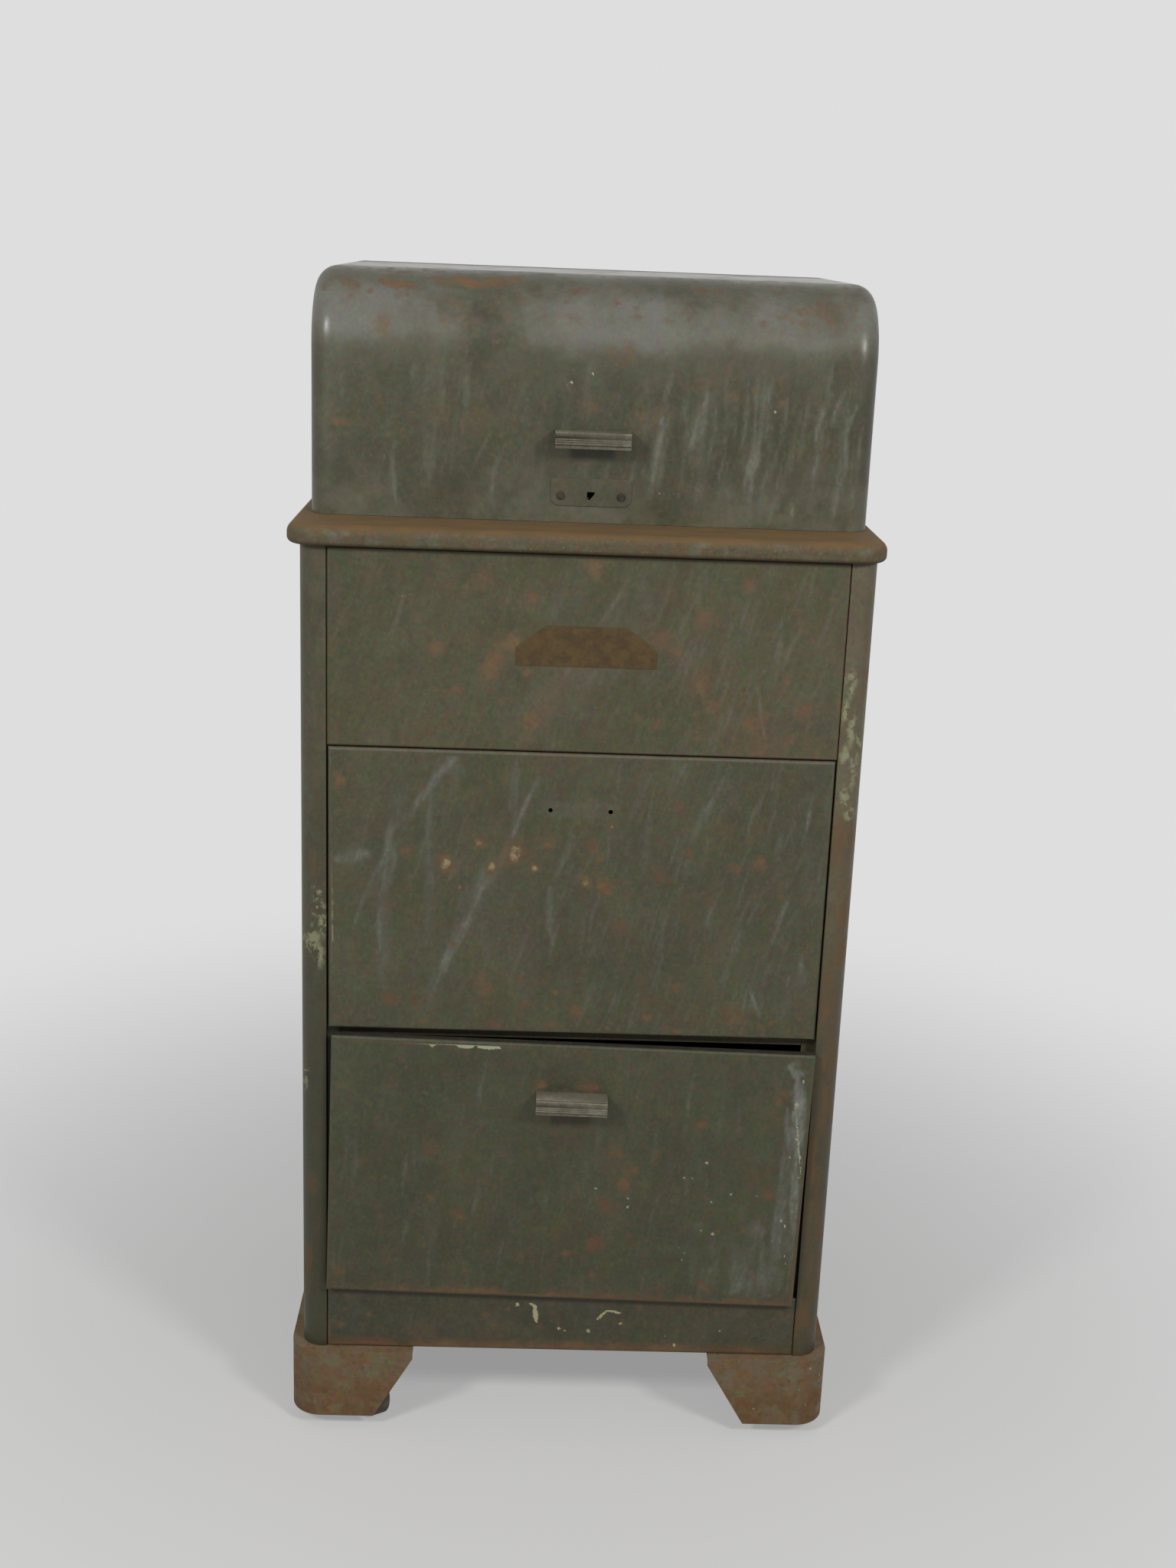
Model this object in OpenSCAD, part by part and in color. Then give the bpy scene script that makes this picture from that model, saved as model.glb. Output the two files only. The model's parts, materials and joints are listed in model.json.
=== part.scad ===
// Streamlined steel filing cabinet on casters: a lift-up hood over a filing well,
// two drawers below it and four skirted corner feet.
// Origin at the middle of the footprint on the floor, front towards -Y, +Z up. Millimetres.

/* [Body] */
// Width over the two corner posts
body_w = 533.4; // [440:1:640]
// Depth from the posts' front plane to the back
body_d = 406.4; // [330:1:490]
// Height of the body's bottom edge above the floor
body_z = 90.8; // [80:0.1:110]
// Plan radius of the front corner posts
post_r = 20; // [12:1:24]
// Plan radius of the rear corners
rear_r = 6; // [3:1:12]
// Width of the flat and round post beside the drawer fronts
post_w = 25.7; // [24:0.1:36]
// Thickness of the body sheet
sheet = 1.2; // [0.9:0.1:2]
// Distance that the stile lips lie behind the posts' front plane
lip_recess = 12; // [11:0.5:20]
// Width of the stile lip seen beside an open drawer
lip_w = 13; // [8:0.5:18]
// Width of the rear flange that carries the back panel
rear_flange = 22; // [12:1:35]

/* [Fronts] */
// Height of the kick panel
kick_h = 66.7; // [40:0.1:90]
// Height of the lower drawer front
lower_h = 280.5; // [230:0.1:330]
// Height of the middle drawer front
middle_h = 285; // [230:1:330]
// Height of the fixed panel over the drawers
badge_panel_h = 188.7; // [150:0.1:240]
// Gap between the kick panel and the closed lower drawer
kick_gap = 3.5; // [2:0.1:5]
// Gap between the two closed drawers
drawer_gap = 4.5; // [2:0.1:6]
// Gap over the middle drawer
panel_gap = 1.3; // [1:0.1:3]
// Gap at each side of the middle drawer front
middle_side_gap = 1.7; // [1:0.1:3]
// Gap at each side of the lower drawer front
lower_side_gap = 3; // [1.7:0.1:4]
// Depth of the folded edge of a front pan
pan_depth = 9.7; // [6:0.1:10]
// Outside radius of a front pan's edges
pan_r = 3; // [1.5:0.5:5]

/* [Drawers] */
// Height of a drawer tray's sides
tray_h = 200; // [150:1:215]
// Room between a tray's back and the back panel
tray_rear_gap = 30.8; // [25:0.1:60]
// Gap between the tray's side and the stile lip
tray_side_gap = 14; // [12:1:20]
// Height of the tray's bottom over the front's bottom edge
tray_lift = 13; // [8:1:20]
// Height of the runner over the tray's bottom
runner_lift = 62; // [30:1:90]
// Thickness of the runners and tracks
rail_t = 1.5; // [1.2:0.1:2]
// Inside height of a track
track_h = 12; // [10:1:16]
// Running clearance between runner and track
run_gap = 0.3; // [0.3:0.1:0.6]
// Full travel of a drawer
travel = 280; // [200:1:290]
// Roll of the sagged lower drawer
sag_roll = 1; // [0:0.1:1]
// Drop of the sagged lower drawer at its middle
sag_drop = 3.6; // [0:0.1:4]
// Distance that the sagged drawer stands out of the body
sag_out = 10; // [10:0.1:12]

/* [Slab] */
// Overhang of the slab past the body
slab_over = 10; // [5:0.5:12]
// Sideways offset of the slab on the body
slab_shift = -1.9; // [-3:0.1:3]
// Height of the slab's edge
slab_h = 19.4; // [16:0.1:26]
// Thickness of the slab's sheet
slab_t = 1.5; // [1.2:0.1:2]
// Upper radius of the slab's edge
nose_r = 10; // [6:0.5:10.5]
// Lower radius of the slab's edge
nose_low_r = 5; // [3:0.5:5.5]

/* [Hood] */
// Width of the hood
hood_w = 525.4; // [430:0.1:630]
// Set-back of the hood's face from the posts' front plane
hood_back_set = 58.6; // [50:0.1:70]
// Room behind the hood on the slab, where the hinges are screwed down
hood_rear_set = 21.4; // [20:0.1:60]
// Height of the hood
hood_h = 224.2; // [180:0.1:270]
// Radius of the sweep from the face to the top
sweep_r = 70; // [50:1:100]
// Radius of the rolled side edges
roll_r = 20; // [8:1:24]
// Thickness of the hood's sheet
hood_t = 1.2; // [1:0.1:1.6]
// Width of the hem along the hood's bottom edge
hem_w = 10; // [8:0.5:13]
// Height of the hood's bottom edge over the slab
hood_gap = 0.3; // [0.3:0.1:1]

/* [Well] */
// Depth of the filing well under the slab
well_depth = 170; // [120:1:176]
// Width of the rim that lies on the slab
well_rim = 12; // [8:1:14]
// Sheet of the well
well_t = 1; // [0.8:0.1:1.5]

/* [Fittings] */
// Length of a pull
pull_w = 70; // [66:1:85]
// Height of a pull
pull_h = 15.5; // [14:0.5:20]
// Height of the lip under a pull's front bar
pull_lip_h = 3.3; // [1.5:0.1:4]
// Reach of a pull from its face
pull_out = 23; // [19:0.5:28]
// Spacing of the pull's two screws
pull_pitch = 57.2; // [50:0.1:58]
// Diameter of the pull's screw holes
pull_hole_d = 4.4; // [3.6:0.1:5]
// Distance of the pull holes below a drawer front's top edge
pull_drop = 55.7; // [40:0.1:80]
// Height of the hood's pull holes over the hood's bottom edge
hood_pull_z = 80.5; // [70:0.5:120]
// Width of the lock plate
lock_w = 75.6; // [70:0.1:90]
// Height of the lock plate
lock_h = 26; // [22:1:30]
// Height of the lock plate's bottom edge over the hood's bottom edge
lock_z = 15.6; // [12:0.1:22]
// Throw of the lock's bolt
bolt_throw = 8; // [5:0.5:10]
// Width of the badge along its bottom edge
badge_w = 131; // [100:1:180]
// Height of the badge
badge_h = 38; // [25:1:60]
// Length of a hinge
hinge_w = 64; // [45:1:90]
// Radius of a hinge's knuckles
knuckle_r = 4; // [3.6:0.1:5]
// Radius of a hinge's pin
pin_r = 2; // [1.5:0.1:2.2]
// Running clearance of a pin in its bore
pin_fit = 0.05; // [0.02:0.01:0.09]

/* [Feet and casters] */
// Ledge of a foot beyond the body
foot_ledge = 11; // [5:0.5:13]
// Thickness of a foot
foot_t = 2.5; // [2:0.1:4]
// Length of a foot's wall along its top
foot_len = 125.5; // [110:0.5:150]
// Length of a foot's wall along its bottom
foot_toe = 85.5; // [60:0.5:95]
// Clearance of a foot's bottom edge over the floor
foot_z = 15.7; // [8:0.1:20]
// Depth of the upright stretch at the top of a foot's end
foot_heel = 7; // [3:0.5:12]
// Radius of a caster wheel
wheel_r = 25; // [20:0.5:26]
// Width of a caster wheel's tread
wheel_w = 19; // [14:0.5:22]
// Trail of the wheel behind its swivel axis
trail = 20; // [14:0.5:21]
// Distance from a foot's side face to the swivel axis
caster_side = 72; // [50:0.5:78]
// Distance from a foot's front or rear face to the swivel axis
caster_end = 50; // [50:0.5:60]
// Radius of a wheel's axle
axle_r = 3; // [2.5:0.1:4]
// Radius of the kingpin
king_r = 4; // [3:0.1:5]

/* [Hidden] */

$fn = 64;
cut = 1;            // how far a cutter reaches past what it cuts
clear = 0.3;        // gap between pieces of two bodies that pass each other
weld_fit = 0.05;    // gap between two sheets of one body before they are welded

ENAMEL = "#5d5c4d";
HOOD_ENAMEL = "#62645a";
RUSTY = "#6f5847";
STEEL = "#77756b";
BRONZE = "#6a5433";
RUBBER = "#4a443c";

// Heights of the front, from the floor up
kick_top = body_z + kick_h;
lower_z = kick_top + kick_gap;
middle_z = lower_z + lower_h + drawer_gap;
panel_z = middle_z + middle_h + panel_gap;
slab_z = panel_z + badge_panel_h;
deck_z = slab_z + slab_h;
hood_z = deck_z + hood_gap;
slab_flange = 12;
rail_drop = 11;

// Widths between the posts
seam_x = body_w / 2 - post_w;
lip_x = seam_x - lip_w;
middle_w = 2 * (seam_x - middle_side_gap);
lower_w = 2 * (seam_x - lower_side_gap);
panel_w = 2 * (seam_x - clear);
inner_x = body_w / 2 - sheet;

// The footprint is centred on the origin: the sagged drawer's pull leads, the slab's rear edge trails
front_y = -(body_d + max(slab_over, foot_ledge) - sag_out - pull_out) / 2;
lip_back = lip_recess + sheet;
back_y = body_d - sheet;

// Drawer trays, runners and tracks
tray_x = lip_x - tray_side_gap;
runner_x = lip_x - 2 * clear - 1;
track_x = lip_x + clear;
track_inner = tray_x + rail_t + 1.5;
track_flange = 10;
tray_d = back_y - 2 * sheet - tray_rear_gap;
runner_end = sheet + tray_d;
stop_w = 4;
stop_t = 3;
stop_drop = 7;
stop_y = runner_end - stop_t - clear - travel;

// Hood, hinge and lock
case_d = 15;
hood_y = hood_back_set;
hood_rear = body_d - hood_rear_set;
hood_d = hood_rear - hood_y;
case_gap = 8;
well_margin = 3;
well_x = hood_w / 2 - hood_t - hem_w - well_rim - well_margin;
well_front = hood_y + hood_t + case_d + case_gap + well_rim + well_margin;
well_rear = hood_rear - hood_t - hem_w - well_rim - well_margin;
hinge_y = hood_rear + knuckle_r;
hinge_z = deck_z + knuckle_r;
hinge_gap = 0.3;
knuckle_w = hinge_w / 5;
leaf_t = 1.5;
leaf_h = 26;
deck_leaf_d = 18;
deck_screw_y = 12.5;
screw_r = 1.7;
screw_hole_r = screw_r + 0.1;
screw_head_r = 3;
screw_head_h = 0.9;
hinge_inset = 50;
hinge_x = hood_w / 2 - hinge_w / 2 - hinge_inset;
lock_mid = lock_z + 9.5;
lock_rivet_x = 28.3;
rivet_r = 1.5;
key_w = 7.4;
plate_t = 1;
bolt_w = 24;
bolt_t = 4;
slot_room = 2.4;    // room round the bolt in the sheets it passes
bolt_y = hood_y + hood_t + 6;
case_w = 60;
strike_rim = 7;
case_h = 24;
case_z = hood_z + 10;

// Feet and casters
foot_top = body_z;
caster_x = body_w / 2 + foot_ledge - caster_side;
caster_front = caster_end - foot_ledge;
caster_rear = body_d + foot_ledge - caster_end;
caster_plate = 50;
plate_z = foot_top - 2 * foot_t;
race_z = plate_z - 3.5;
crown_t = 2.5;
crown_z = race_z - clear - crown_t;
crown_r = 17;
fork_x = wheel_w / 2 + 1.2;
fork_t = 2.5;
king_head = 3;
bolt_r = 2.5;
swivel_fl = -60;
swivel_fr = 110;
swivel_rl = 35;
swivel_rr = 150;

// ---------------------------------------------------------------- shared shapes

// Moves children into the body's frame: y counts back from the posts' front plane
module in_body() translate([0, front_y, 0]) children();

// Removes a square corner at the origin and leaves a quarter round of radius r
module corner_cut(r) {
    difference() {
        translate([-cut, -cut]) square(r + cut);
        translate([r, r]) circle(r);
    }
}

// Rectangle centred on x, from y = 0 to d, with round corners at its front and rear
module round_rect(w, d, r_front, r_rear) {
    difference() {
        translate([-w / 2, 0]) square([w, d]);
        for (s = [-1, 1]) scale([s, 1]) {
            translate([-w / 2, 0]) corner_cut(r_front);
            translate([-w / 2, d]) mirror([0, 1]) corner_cut(r_rear);
        }
    }
}

// Stands a 2D outline of x and z up at y = 0 and thickens it towards +y
module upright(t) translate([0, t, 0]) rotate([90, 0, 0]) linear_extrude(t) children();

// Runs a 2D outline of y and z along x, over width w
module along_x(w) translate([-w / 2, 0, 0]) rotate([90, 0, 90]) linear_extrude(w) children();

// A sheet bent into a shallow pan: face at y = 0, edges folded back over depth d
module front_pan(w, h, d) {
    difference() {
        pan_block(w, h, d, pan_r);
        translate([0, sheet, sheet]) pan_block(w - 2 * sheet, h - 2 * sheet, d, pan_r - sheet);
    }
}

// Block whose four front edges are rounded
module pan_block(w, h, d, r) {
    intersection() {
        linear_extrude(h) round_rect(w, d, r, 0.01);
        along_x(w) difference() {
            square([d, h]);
            corner_cut(r);
            translate([0, h]) mirror([0, 1]) corner_cut(r);
        }
    }
}

// Two holes for a pull's screws, through a face at y = 0
module pull_holes(z) {
    for (s = [-1, 1]) translate([s * pull_pitch / 2, -cut, z])
        rotate([-90, 0, 0]) cylinder(d = pull_hole_d, h = 10);
}

// ---------------------------------------------------------------- carcass

// Plan of one side: front post, stile lip, side wall and rear flange bent from one sheet
module side_plan() {
    intersection() {
        difference() {
            round_rect(body_w, body_d, post_r, rear_r);
            translate([0, sheet])
                round_rect(body_w - 2 * sheet, body_d - 2 * sheet, post_r - sheet, rear_r - sheet);
        }
        union() {
            translate([-body_w, -cut]) square([body_w - seam_x, body_d / 2 + cut]);
            translate([-body_w, body_d / 2 - cut])
                square([body_w / 2 + rear_flange, body_d]);
        }
    }
    translate([-seam_x - sheet, 0]) square([sheet, lip_back]);
    translate([-seam_x - sheet, lip_recess]) square([sheet + lip_w, sheet]);
}

module side_wall() in_body() translate([0, 0, body_z]) linear_extrude(slab_z - body_z) side_plan();

module left_side() color(ENAMEL) side_wall();

module right_side() color(ENAMEL) mirror([1, 0, 0]) side_wall();

// Back sheet, welded inside the side walls' rear flanges
module back_panel() color(ENAMEL) in_body()
    translate([0, back_y - sheet, body_z + sheet]) translate([-inner_x + rear_r, 0, 0])
        cube([2 * (inner_x - rear_r), sheet, slab_z - body_z - sheet]);

// Bottom sheet with its edges turned up, seated on the feet
module base_pan() {
    flange_h = 16;
    pan_x = inner_x - clear;
    pan_y = lip_back + clear;
    pan_end = back_y - sheet - clear;
    color(ENAMEL) in_body() difference() {
        translate([0, 0, body_z]) intersection() {
            difference() {
                translate([-pan_x, pan_y, 0]) cube([2 * pan_x, pan_end - pan_y, flange_h]);
                translate([-pan_x + sheet, pan_y + sheet, sheet])
                    cube([2 * (pan_x - sheet), pan_end - pan_y - 2 * sheet, flange_h]);
            }
            linear_extrude(flange_h) translate([0, sheet + clear])
                round_rect(2 * pan_x, back_y - sheet, post_r - sheet - clear, rear_r);
        }
        for (left = [true, false]) for (front = [true, false])
            translate([left ? -caster_x : caster_x, front ? caster_front : caster_rear, body_z])
                caster_bolt_places() bolt_hole(sheet);
    }
}

module kick_panel() color(ENAMEL) in_body() translate([0, 0, body_z])
    front_pan(panel_w, kick_h, lip_recess);

module badge_panel() color(ENAMEL) in_body() translate([0, 0, panel_z])
    front_pan(panel_w, badge_panel_h, lip_recess);

// Plain plate with stepped shoulders, on the fixed panel
module badge_plate() {
    badge_t = 0.6;
    shoulder = badge_h * 0.45;
    top_half = badge_w * 0.286;
    badge_z = panel_z + badge_panel_h * 0.44;
    color(BRONZE) in_body() translate([0, -badge_t, badge_z]) upright(badge_t) polygon([
        [-badge_w / 2, 0], [badge_w / 2, 0], [badge_w / 2, shoulder], [top_half, badge_h],
        [-top_half, badge_h], [-badge_w / 2, shoulder]
    ]);
}

// Channel across the opening, its face welded behind the stile lips
module cross_rail(z) {
    h = 16;
    depth = 22;
    color(ENAMEL) in_body() translate([0, lip_back, z]) along_x(panel_w) difference() {
        square([depth, h]);
        translate([sheet, sheet]) square([depth, h - 2 * sheet]);
    }
}

module upper_rail() cross_rail(panel_z - rail_drop);

module divider_rail() cross_rail(middle_z - rail_drop);

// Tracks of a drawer: a pair of channels from the stile lips to the back panel, each with
// a lug that stops the runner at full travel
module tracks(base_z) {
    z0 = base_z + tray_lift + runner_lift - run_gap - rail_t;
    h = track_h + 2 * rail_t + run_gap;
    tab_h = 8;
    y0 = lip_back;
    y1 = back_y - sheet;
    in_body() for (s = [-1, 1]) scale([s, 1, 1]) {
        translate([0, y0 + rail_t, z0]) rotate([-90, 0, 0]) mirror([0, 1, 0])
            linear_extrude(y1 - y0 - 2 * rail_t) difference() {
                translate([track_inner, 0]) square([track_x + rail_t - track_inner, h]);
                translate([track_inner - cut, rail_t]) square([track_x - track_inner + cut, h - 2 * rail_t]);
            }
        translate([track_x - stop_w, stop_y - stop_t, z0 + h - rail_t - stop_drop])
            cube([stop_w, stop_t, stop_drop]);
        translate([track_x, y0, z0 - tab_h]) cube([track_flange, rail_t, h + 2 * tab_h]);
        translate([track_x, y1 - rail_t, z0 - tab_h]) cube([track_flange, rail_t, h + 2 * tab_h]);
    }
}

module middle_tracks() color(STEEL) tracks(middle_z);

module lower_tracks() color(STEEL) sagged() tracks(lower_z);

// ---------------------------------------------------------------- slab and well

// Section of the slab's edge: x outwards, y up, square on its inner side
module nose_section(w, h, r_top, r_low) {
    difference() {
        square([w, h]);
        translate([w, h]) rotate(180) corner_cut(r_top);
        translate([w, 0]) mirror([1, 0]) corner_cut(r_low);
    }
}

// The slab's outline block: straight edges and round corners of one section
module slab_block(inset, z0, h, r_top, r_low) {
    corner = post_r + slab_over;
    w = body_w + 2 * slab_over;
    d = body_d + 2 * slab_over;
    x = w / 2 - corner;
    y = d / 2 - corner;
    translate([0, body_d / 2, z0]) {
        for (side = [-1, 1]) for (end = [-1, 1]) scale([side, end, 1]) translate([x, y, 0])
            rotate_extrude(angle = 90) nose_section(corner - inset, h, r_top, r_low);
        for (side = [-1, 1]) scale([side, 1, 1]) translate([x, y, 0]) rotate([90, 0, 0])
            linear_extrude(2 * y) nose_section(corner - inset, h, r_top, r_low);
        for (end = [-1, 1]) scale([1, end, 1]) translate([-x, y, 0]) rotate([90, 0, 90])
            linear_extrude(2 * x) nose_section(corner - inset, h, r_top, r_low);
        translate([-x, -y, 0]) cube([2 * x, 2 * y, h]);
    }
}

// Pressed top with a rolled edge, open below and cut out for the well and the bolt
module top_slab() {
    color(RUSTY) in_body() difference() {
        translate([slab_shift, 0, 0]) slab_block(0, slab_z, slab_h, nose_r, nose_low_r);
        translate([slab_shift, 0, slab_t])
            slab_block(slab_t, slab_z, slab_h - 2 * slab_t, nose_r - slab_t, nose_low_r - slab_t);
        translate([-body_w / 2 + slab_flange, slab_flange, slab_z - cut])
            cube([body_w - 2 * slab_flange, body_d - 2 * slab_flange, slab_t + 2 * cut]);
        well_box(deck_z - slab_t - cut, slab_t + 2 * cut, weld_fit);
        bolt_slot(deck_z - slab_t, slab_t);
    }
}

// Cutter for the bolt's slot through a sheet that lies at z with thickness t
module bolt_slot(z, t) translate([-bolt_w / 2 - slot_room, bolt_y - slot_room, z - cut])
    cube([bolt_w + 2 * slot_room, bolt_t + 2 * slot_room, t + 2 * cut]);

// Block of the well's plan, grown by a margin on all four sides
module well_box(z, h, grow) translate([-well_x - grow, well_front - grow, z])
    cube([2 * (well_x + grow), well_rear - well_front + 2 * grow, h]);

// Folded box that hangs by its rim from the slab
module filing_well() {
    color(STEEL) in_body() difference() {
        union() {
            well_box(deck_z - well_depth, well_depth, 0);
            well_box(deck_z, well_t, well_rim);
        }
        well_box(deck_z - well_depth + well_t, well_depth + 2 * cut, -well_t);
    }
}

// Plate under the slab that the lock's bolt drops through
module strike_plate() color(STEEL) in_body() difference() {
    translate([-case_w / 2, bolt_y - strike_rim, deck_z - slab_t - rail_t])
        cube([case_w, bolt_t + 2 * strike_rim, rail_t]);
    bolt_slot(deck_z - slab_t - rail_t, rail_t);
}

// ---------------------------------------------------------------- hood

// Solid of the hood: a swept face, a flat top and rolled side edges
module hood_block(w, y0, y1, z0, z1, sweep, roll) {
    cy = y0 + sweep;
    cz = z1 - sweep;
    translate([0, cy, cz]) rotate([0, 90, 0]) rotate([0, 0, 180])
        rotate_extrude(angle = 90) sweep_section(w, sweep, roll);
    translate([0, 0, z0]) linear_extrude(cz - z0) intersection() {
        translate([0, y0]) round_rect(w, 2 * sweep, roll, 0.01);
        translate([-w, y0 - cut]) square([2 * w, sweep + cut]);
    }
    translate([0, cy, 0]) upright(y1 - cy) intersection() {
        translate([0, z1]) mirror([0, 1]) round_rect(w, 2 * sweep, roll, 0.01);
        translate([-w, cz]) square([2 * w, sweep + cut]);
    }
    translate([-w / 2, cy, z0]) cube([w, y1 - cy, cz - z0]);
}

// Section of the sweep: x is the distance from the sweep's axis, y runs across the hood
module sweep_section(w, sweep, roll) {
    difference() {
        translate([0, -w / 2]) square([sweep, w]);
        for (s = [-1, 1]) scale([1, s]) translate([sweep, -w / 2]) mirror([1, 0]) corner_cut(roll);
    }
}

// Drawn shell of the hood, open at the bottom and the rear, with a hem turned inwards
module hood_shell() {
    rear = hood_rear;
    color(HOOD_ENAMEL) in_body() difference() {
        hood_block(hood_w, hood_y, rear, hood_z, hood_z + hood_h, sweep_r, roll_r);
        hood_block(hood_w - 2 * hood_t, hood_y + hood_t, rear + cut, hood_z + hood_t,
            hood_z + hood_h - hood_t, sweep_r - hood_t, roll_r - hood_t);
        translate([-hood_w / 2 + hood_t + hem_w, hood_y + hood_t + hem_w, hood_z - cut])
            cube([hood_w - 2 * (hood_t + hem_w), hood_d, hood_t + 2 * cut]);
        translate([-hood_w / 2 + hood_t, rear - hem_w - weld_fit, hood_z - cut])
            cube([hood_w - 2 * hood_t, hem_w + cut, hood_t + 2 * cut]);
        bolt_slot(hood_z, hood_t);
        translate([0, hood_y, hood_z + hood_pull_z]) pull_holes(0);
        translate([0, hood_y, hood_z]) keyhole();
        lock_rivet_places() cylinder(r = rivet_r + 0.1, h = 10);
    }
}

// Rear sheet of the hood, set in between the shell's edges, with its own edges folded forward
module hood_back() {
    w = hood_w - 2 * (hood_t + weld_fit);
    h = hood_h - hood_t - weld_fit;
    r = roll_r - hood_t - weld_fit;
    color(HOOD_ENAMEL) in_body() translate([0, hood_rear, hood_z]) {
        translate([0, -hood_t, 0]) upright(hood_t) hood_back_outline(w, h, r);
        translate([0, -hem_w, 0]) upright(hem_w) difference() {
            hood_back_outline(w, h, r);
            translate([0, hood_t]) hood_back_outline(w - 2 * hood_t, h - 2 * hood_t, r - hood_t);
        }
    }
}

// Outline of the rear sheet: round corners at its top
module hood_back_outline(w, h, r) translate([0, h]) mirror([0, 1]) round_rect(w, h, r, 0.01);

// Keyhole through a face at y = 0, measured from the hood's bottom edge: it narrows downwards
module keyhole() {
    key_h = 7.6;
    translate([0, -cut - plate_t, lock_mid - key_h / 2]) upright(6) polygon([
        [-key_w / 2, key_h], [key_w / 2, key_h], [key_w * 0.42, key_h * 0.7], [-key_w * 0.18, 0],
        [-key_w / 2, key_h * 0.16]
    ]);
}

// Places of the lock's rivets, just in front of the lock plate
module lock_rivet_places() for (s = [-1, 1])
    translate([s * lock_rivet_x, hood_y - plate_t - cut, hood_z + lock_mid]) rotate([-90, 0, 0]) children();

// Flat plate round the keyhole
module lock_plate() color(HOOD_ENAMEL) in_body() difference() {
    translate([0, hood_y - plate_t, hood_z + lock_z]) upright(plate_t) round_rect(lock_w, lock_h, 8, 4);
    translate([0, hood_y, hood_z]) keyhole();
    lock_rivet_places() cylinder(r = rivet_r + 0.1, h = 10);
}

// Two rivets that hold the lock plate and the lock case
module lock_rivets() {
    head_r = 4;
    head_h = 1.1;
    color(RUSTY) in_body() lock_rivet_places() {
        translate([0, 0, cut - head_h]) cylinder(r = head_r, h = head_h);
        translate([0, 0, cut]) cylinder(r = rivet_r, h = plate_t + hood_t + rail_t);
    }
}

// Case of the lock behind the hood's face, open below for the bolt
module lock_case() {
    wall = 1.2;
    ear_w = lock_w - 8;
    ear_h = 12;
    color(STEEL) in_body() difference() {
        union() {
            translate([-case_w / 2, hood_y + hood_t, case_z]) cube([case_w, case_d, case_h]);
            translate([-ear_w / 2, hood_y + hood_t, case_z + (case_h - ear_h) / 2])
                cube([ear_w, rail_t, ear_h]);
        }
        translate([-case_w / 2 + wall, hood_y + hood_t + wall, case_z + wall])
            cube([case_w - 2 * wall, case_d - 2 * wall, case_h - 2 * wall]);
        translate([-bolt_w / 2 - clear, bolt_y - clear, case_z - cut])
            cube([bolt_w + 2 * clear, bolt_t + 2 * clear, 2 * cut + wall]);
        translate([0, hood_y, hood_z]) keyhole();
        lock_rivet_places() cylinder(r = rivet_r + 0.1, h = 10);
    }
}

// Bolt with a notch over the keyhole: it slides down through the slab when the key turns
module lock_bolt() {
    bolt_lift = 3;
    bolt_l = lock_mid - 2 - bolt_lift;
    notch_w = 3;
    notch_l = bolt_throw + 3;
    color(STEEL) in_body() translate([0, bolt_y, hood_z + bolt_lift]) difference() {
        translate([-bolt_w / 2, 0, 0]) cube([bolt_w, bolt_t, bolt_l]);
        translate([-notch_w / 2, -cut, bolt_l - notch_l]) cube([notch_w, bolt_t + 2 * cut, notch_l + cut]);
    }
}

// ---------------------------------------------------------------- hinges

// One hinge's knuckles: n of them from x0, each w wide, a knuckle's width apart
module knuckles(x0, n, w, bore) {
    for (i = [0:n - 1]) translate([x0 + 2 * i * w + hinge_gap / 2, 0, 0]) rotate([0, 90, 0]) difference() {
        cylinder(r = knuckle_r, h = w - hinge_gap);
        translate([0, 0, -cut]) cylinder(r = bore, h = w + 2 * cut);
    }
}

module at_hinges() in_body() for (s = [-1, 1])
    translate([s * hinge_x - hinge_w / 2, hinge_y, hinge_z]) children();

// Leaves on the slab with three knuckles each
module hinge_deck_leaves() color(STEEL) at_hinges() difference() {
    union() {
        knuckles(0, 3, knuckle_w, pin_r + pin_fit);
        for (i = [0:2]) translate([2 * i * knuckle_w + hinge_gap / 2, 0, -knuckle_r])
            cube([knuckle_w - hinge_gap, knuckle_r + 2, leaf_t]);
        translate([hinge_gap / 2, knuckle_r + hinge_gap, -knuckle_r])
            cube([hinge_w - hinge_gap, deck_leaf_d - knuckle_r - hinge_gap, leaf_t]);
    }
    translate([-cut, 0, 0]) rotate([0, 90, 0]) cylinder(r = pin_r + pin_fit, h = hinge_w + 2 * cut);
    hinge_screw_places() translate([0, deck_screw_y, -knuckle_r - cut])
        cylinder(r = screw_hole_r, h = leaf_t + 2 * cut);
}

module hinge_screw_places() for (x = [0.2, 0.5, 0.8]) translate([x * hinge_w, 0, 0]) children();

// Upright leaves on the hood's back with two knuckles each
module hinge_hood_leaves() color(STEEL) at_hinges() difference() {
    union() {
        knuckles(knuckle_w, 2, knuckle_w, pin_r + pin_fit);
        for (i = [0:1]) translate([(2 * i + 1) * knuckle_w + hinge_gap / 2, -knuckle_r, 0])
            cube([knuckle_w - hinge_gap, leaf_t, knuckle_r + 2]);
        translate([hinge_gap / 2, -knuckle_r, knuckle_r + hinge_gap])
            cube([hinge_w - hinge_gap, leaf_t, leaf_h - knuckle_r]);
    }
    translate([-cut, 0, 0]) rotate([0, 90, 0]) cylinder(r = pin_r + pin_fit, h = hinge_w + 2 * cut);
    hinge_screw_places() translate([0, -knuckle_r - cut, leaf_h * 0.7]) rotate([-90, 0, 0])
        cylinder(r = screw_hole_r, h = leaf_t + 2 * cut);
}

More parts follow.
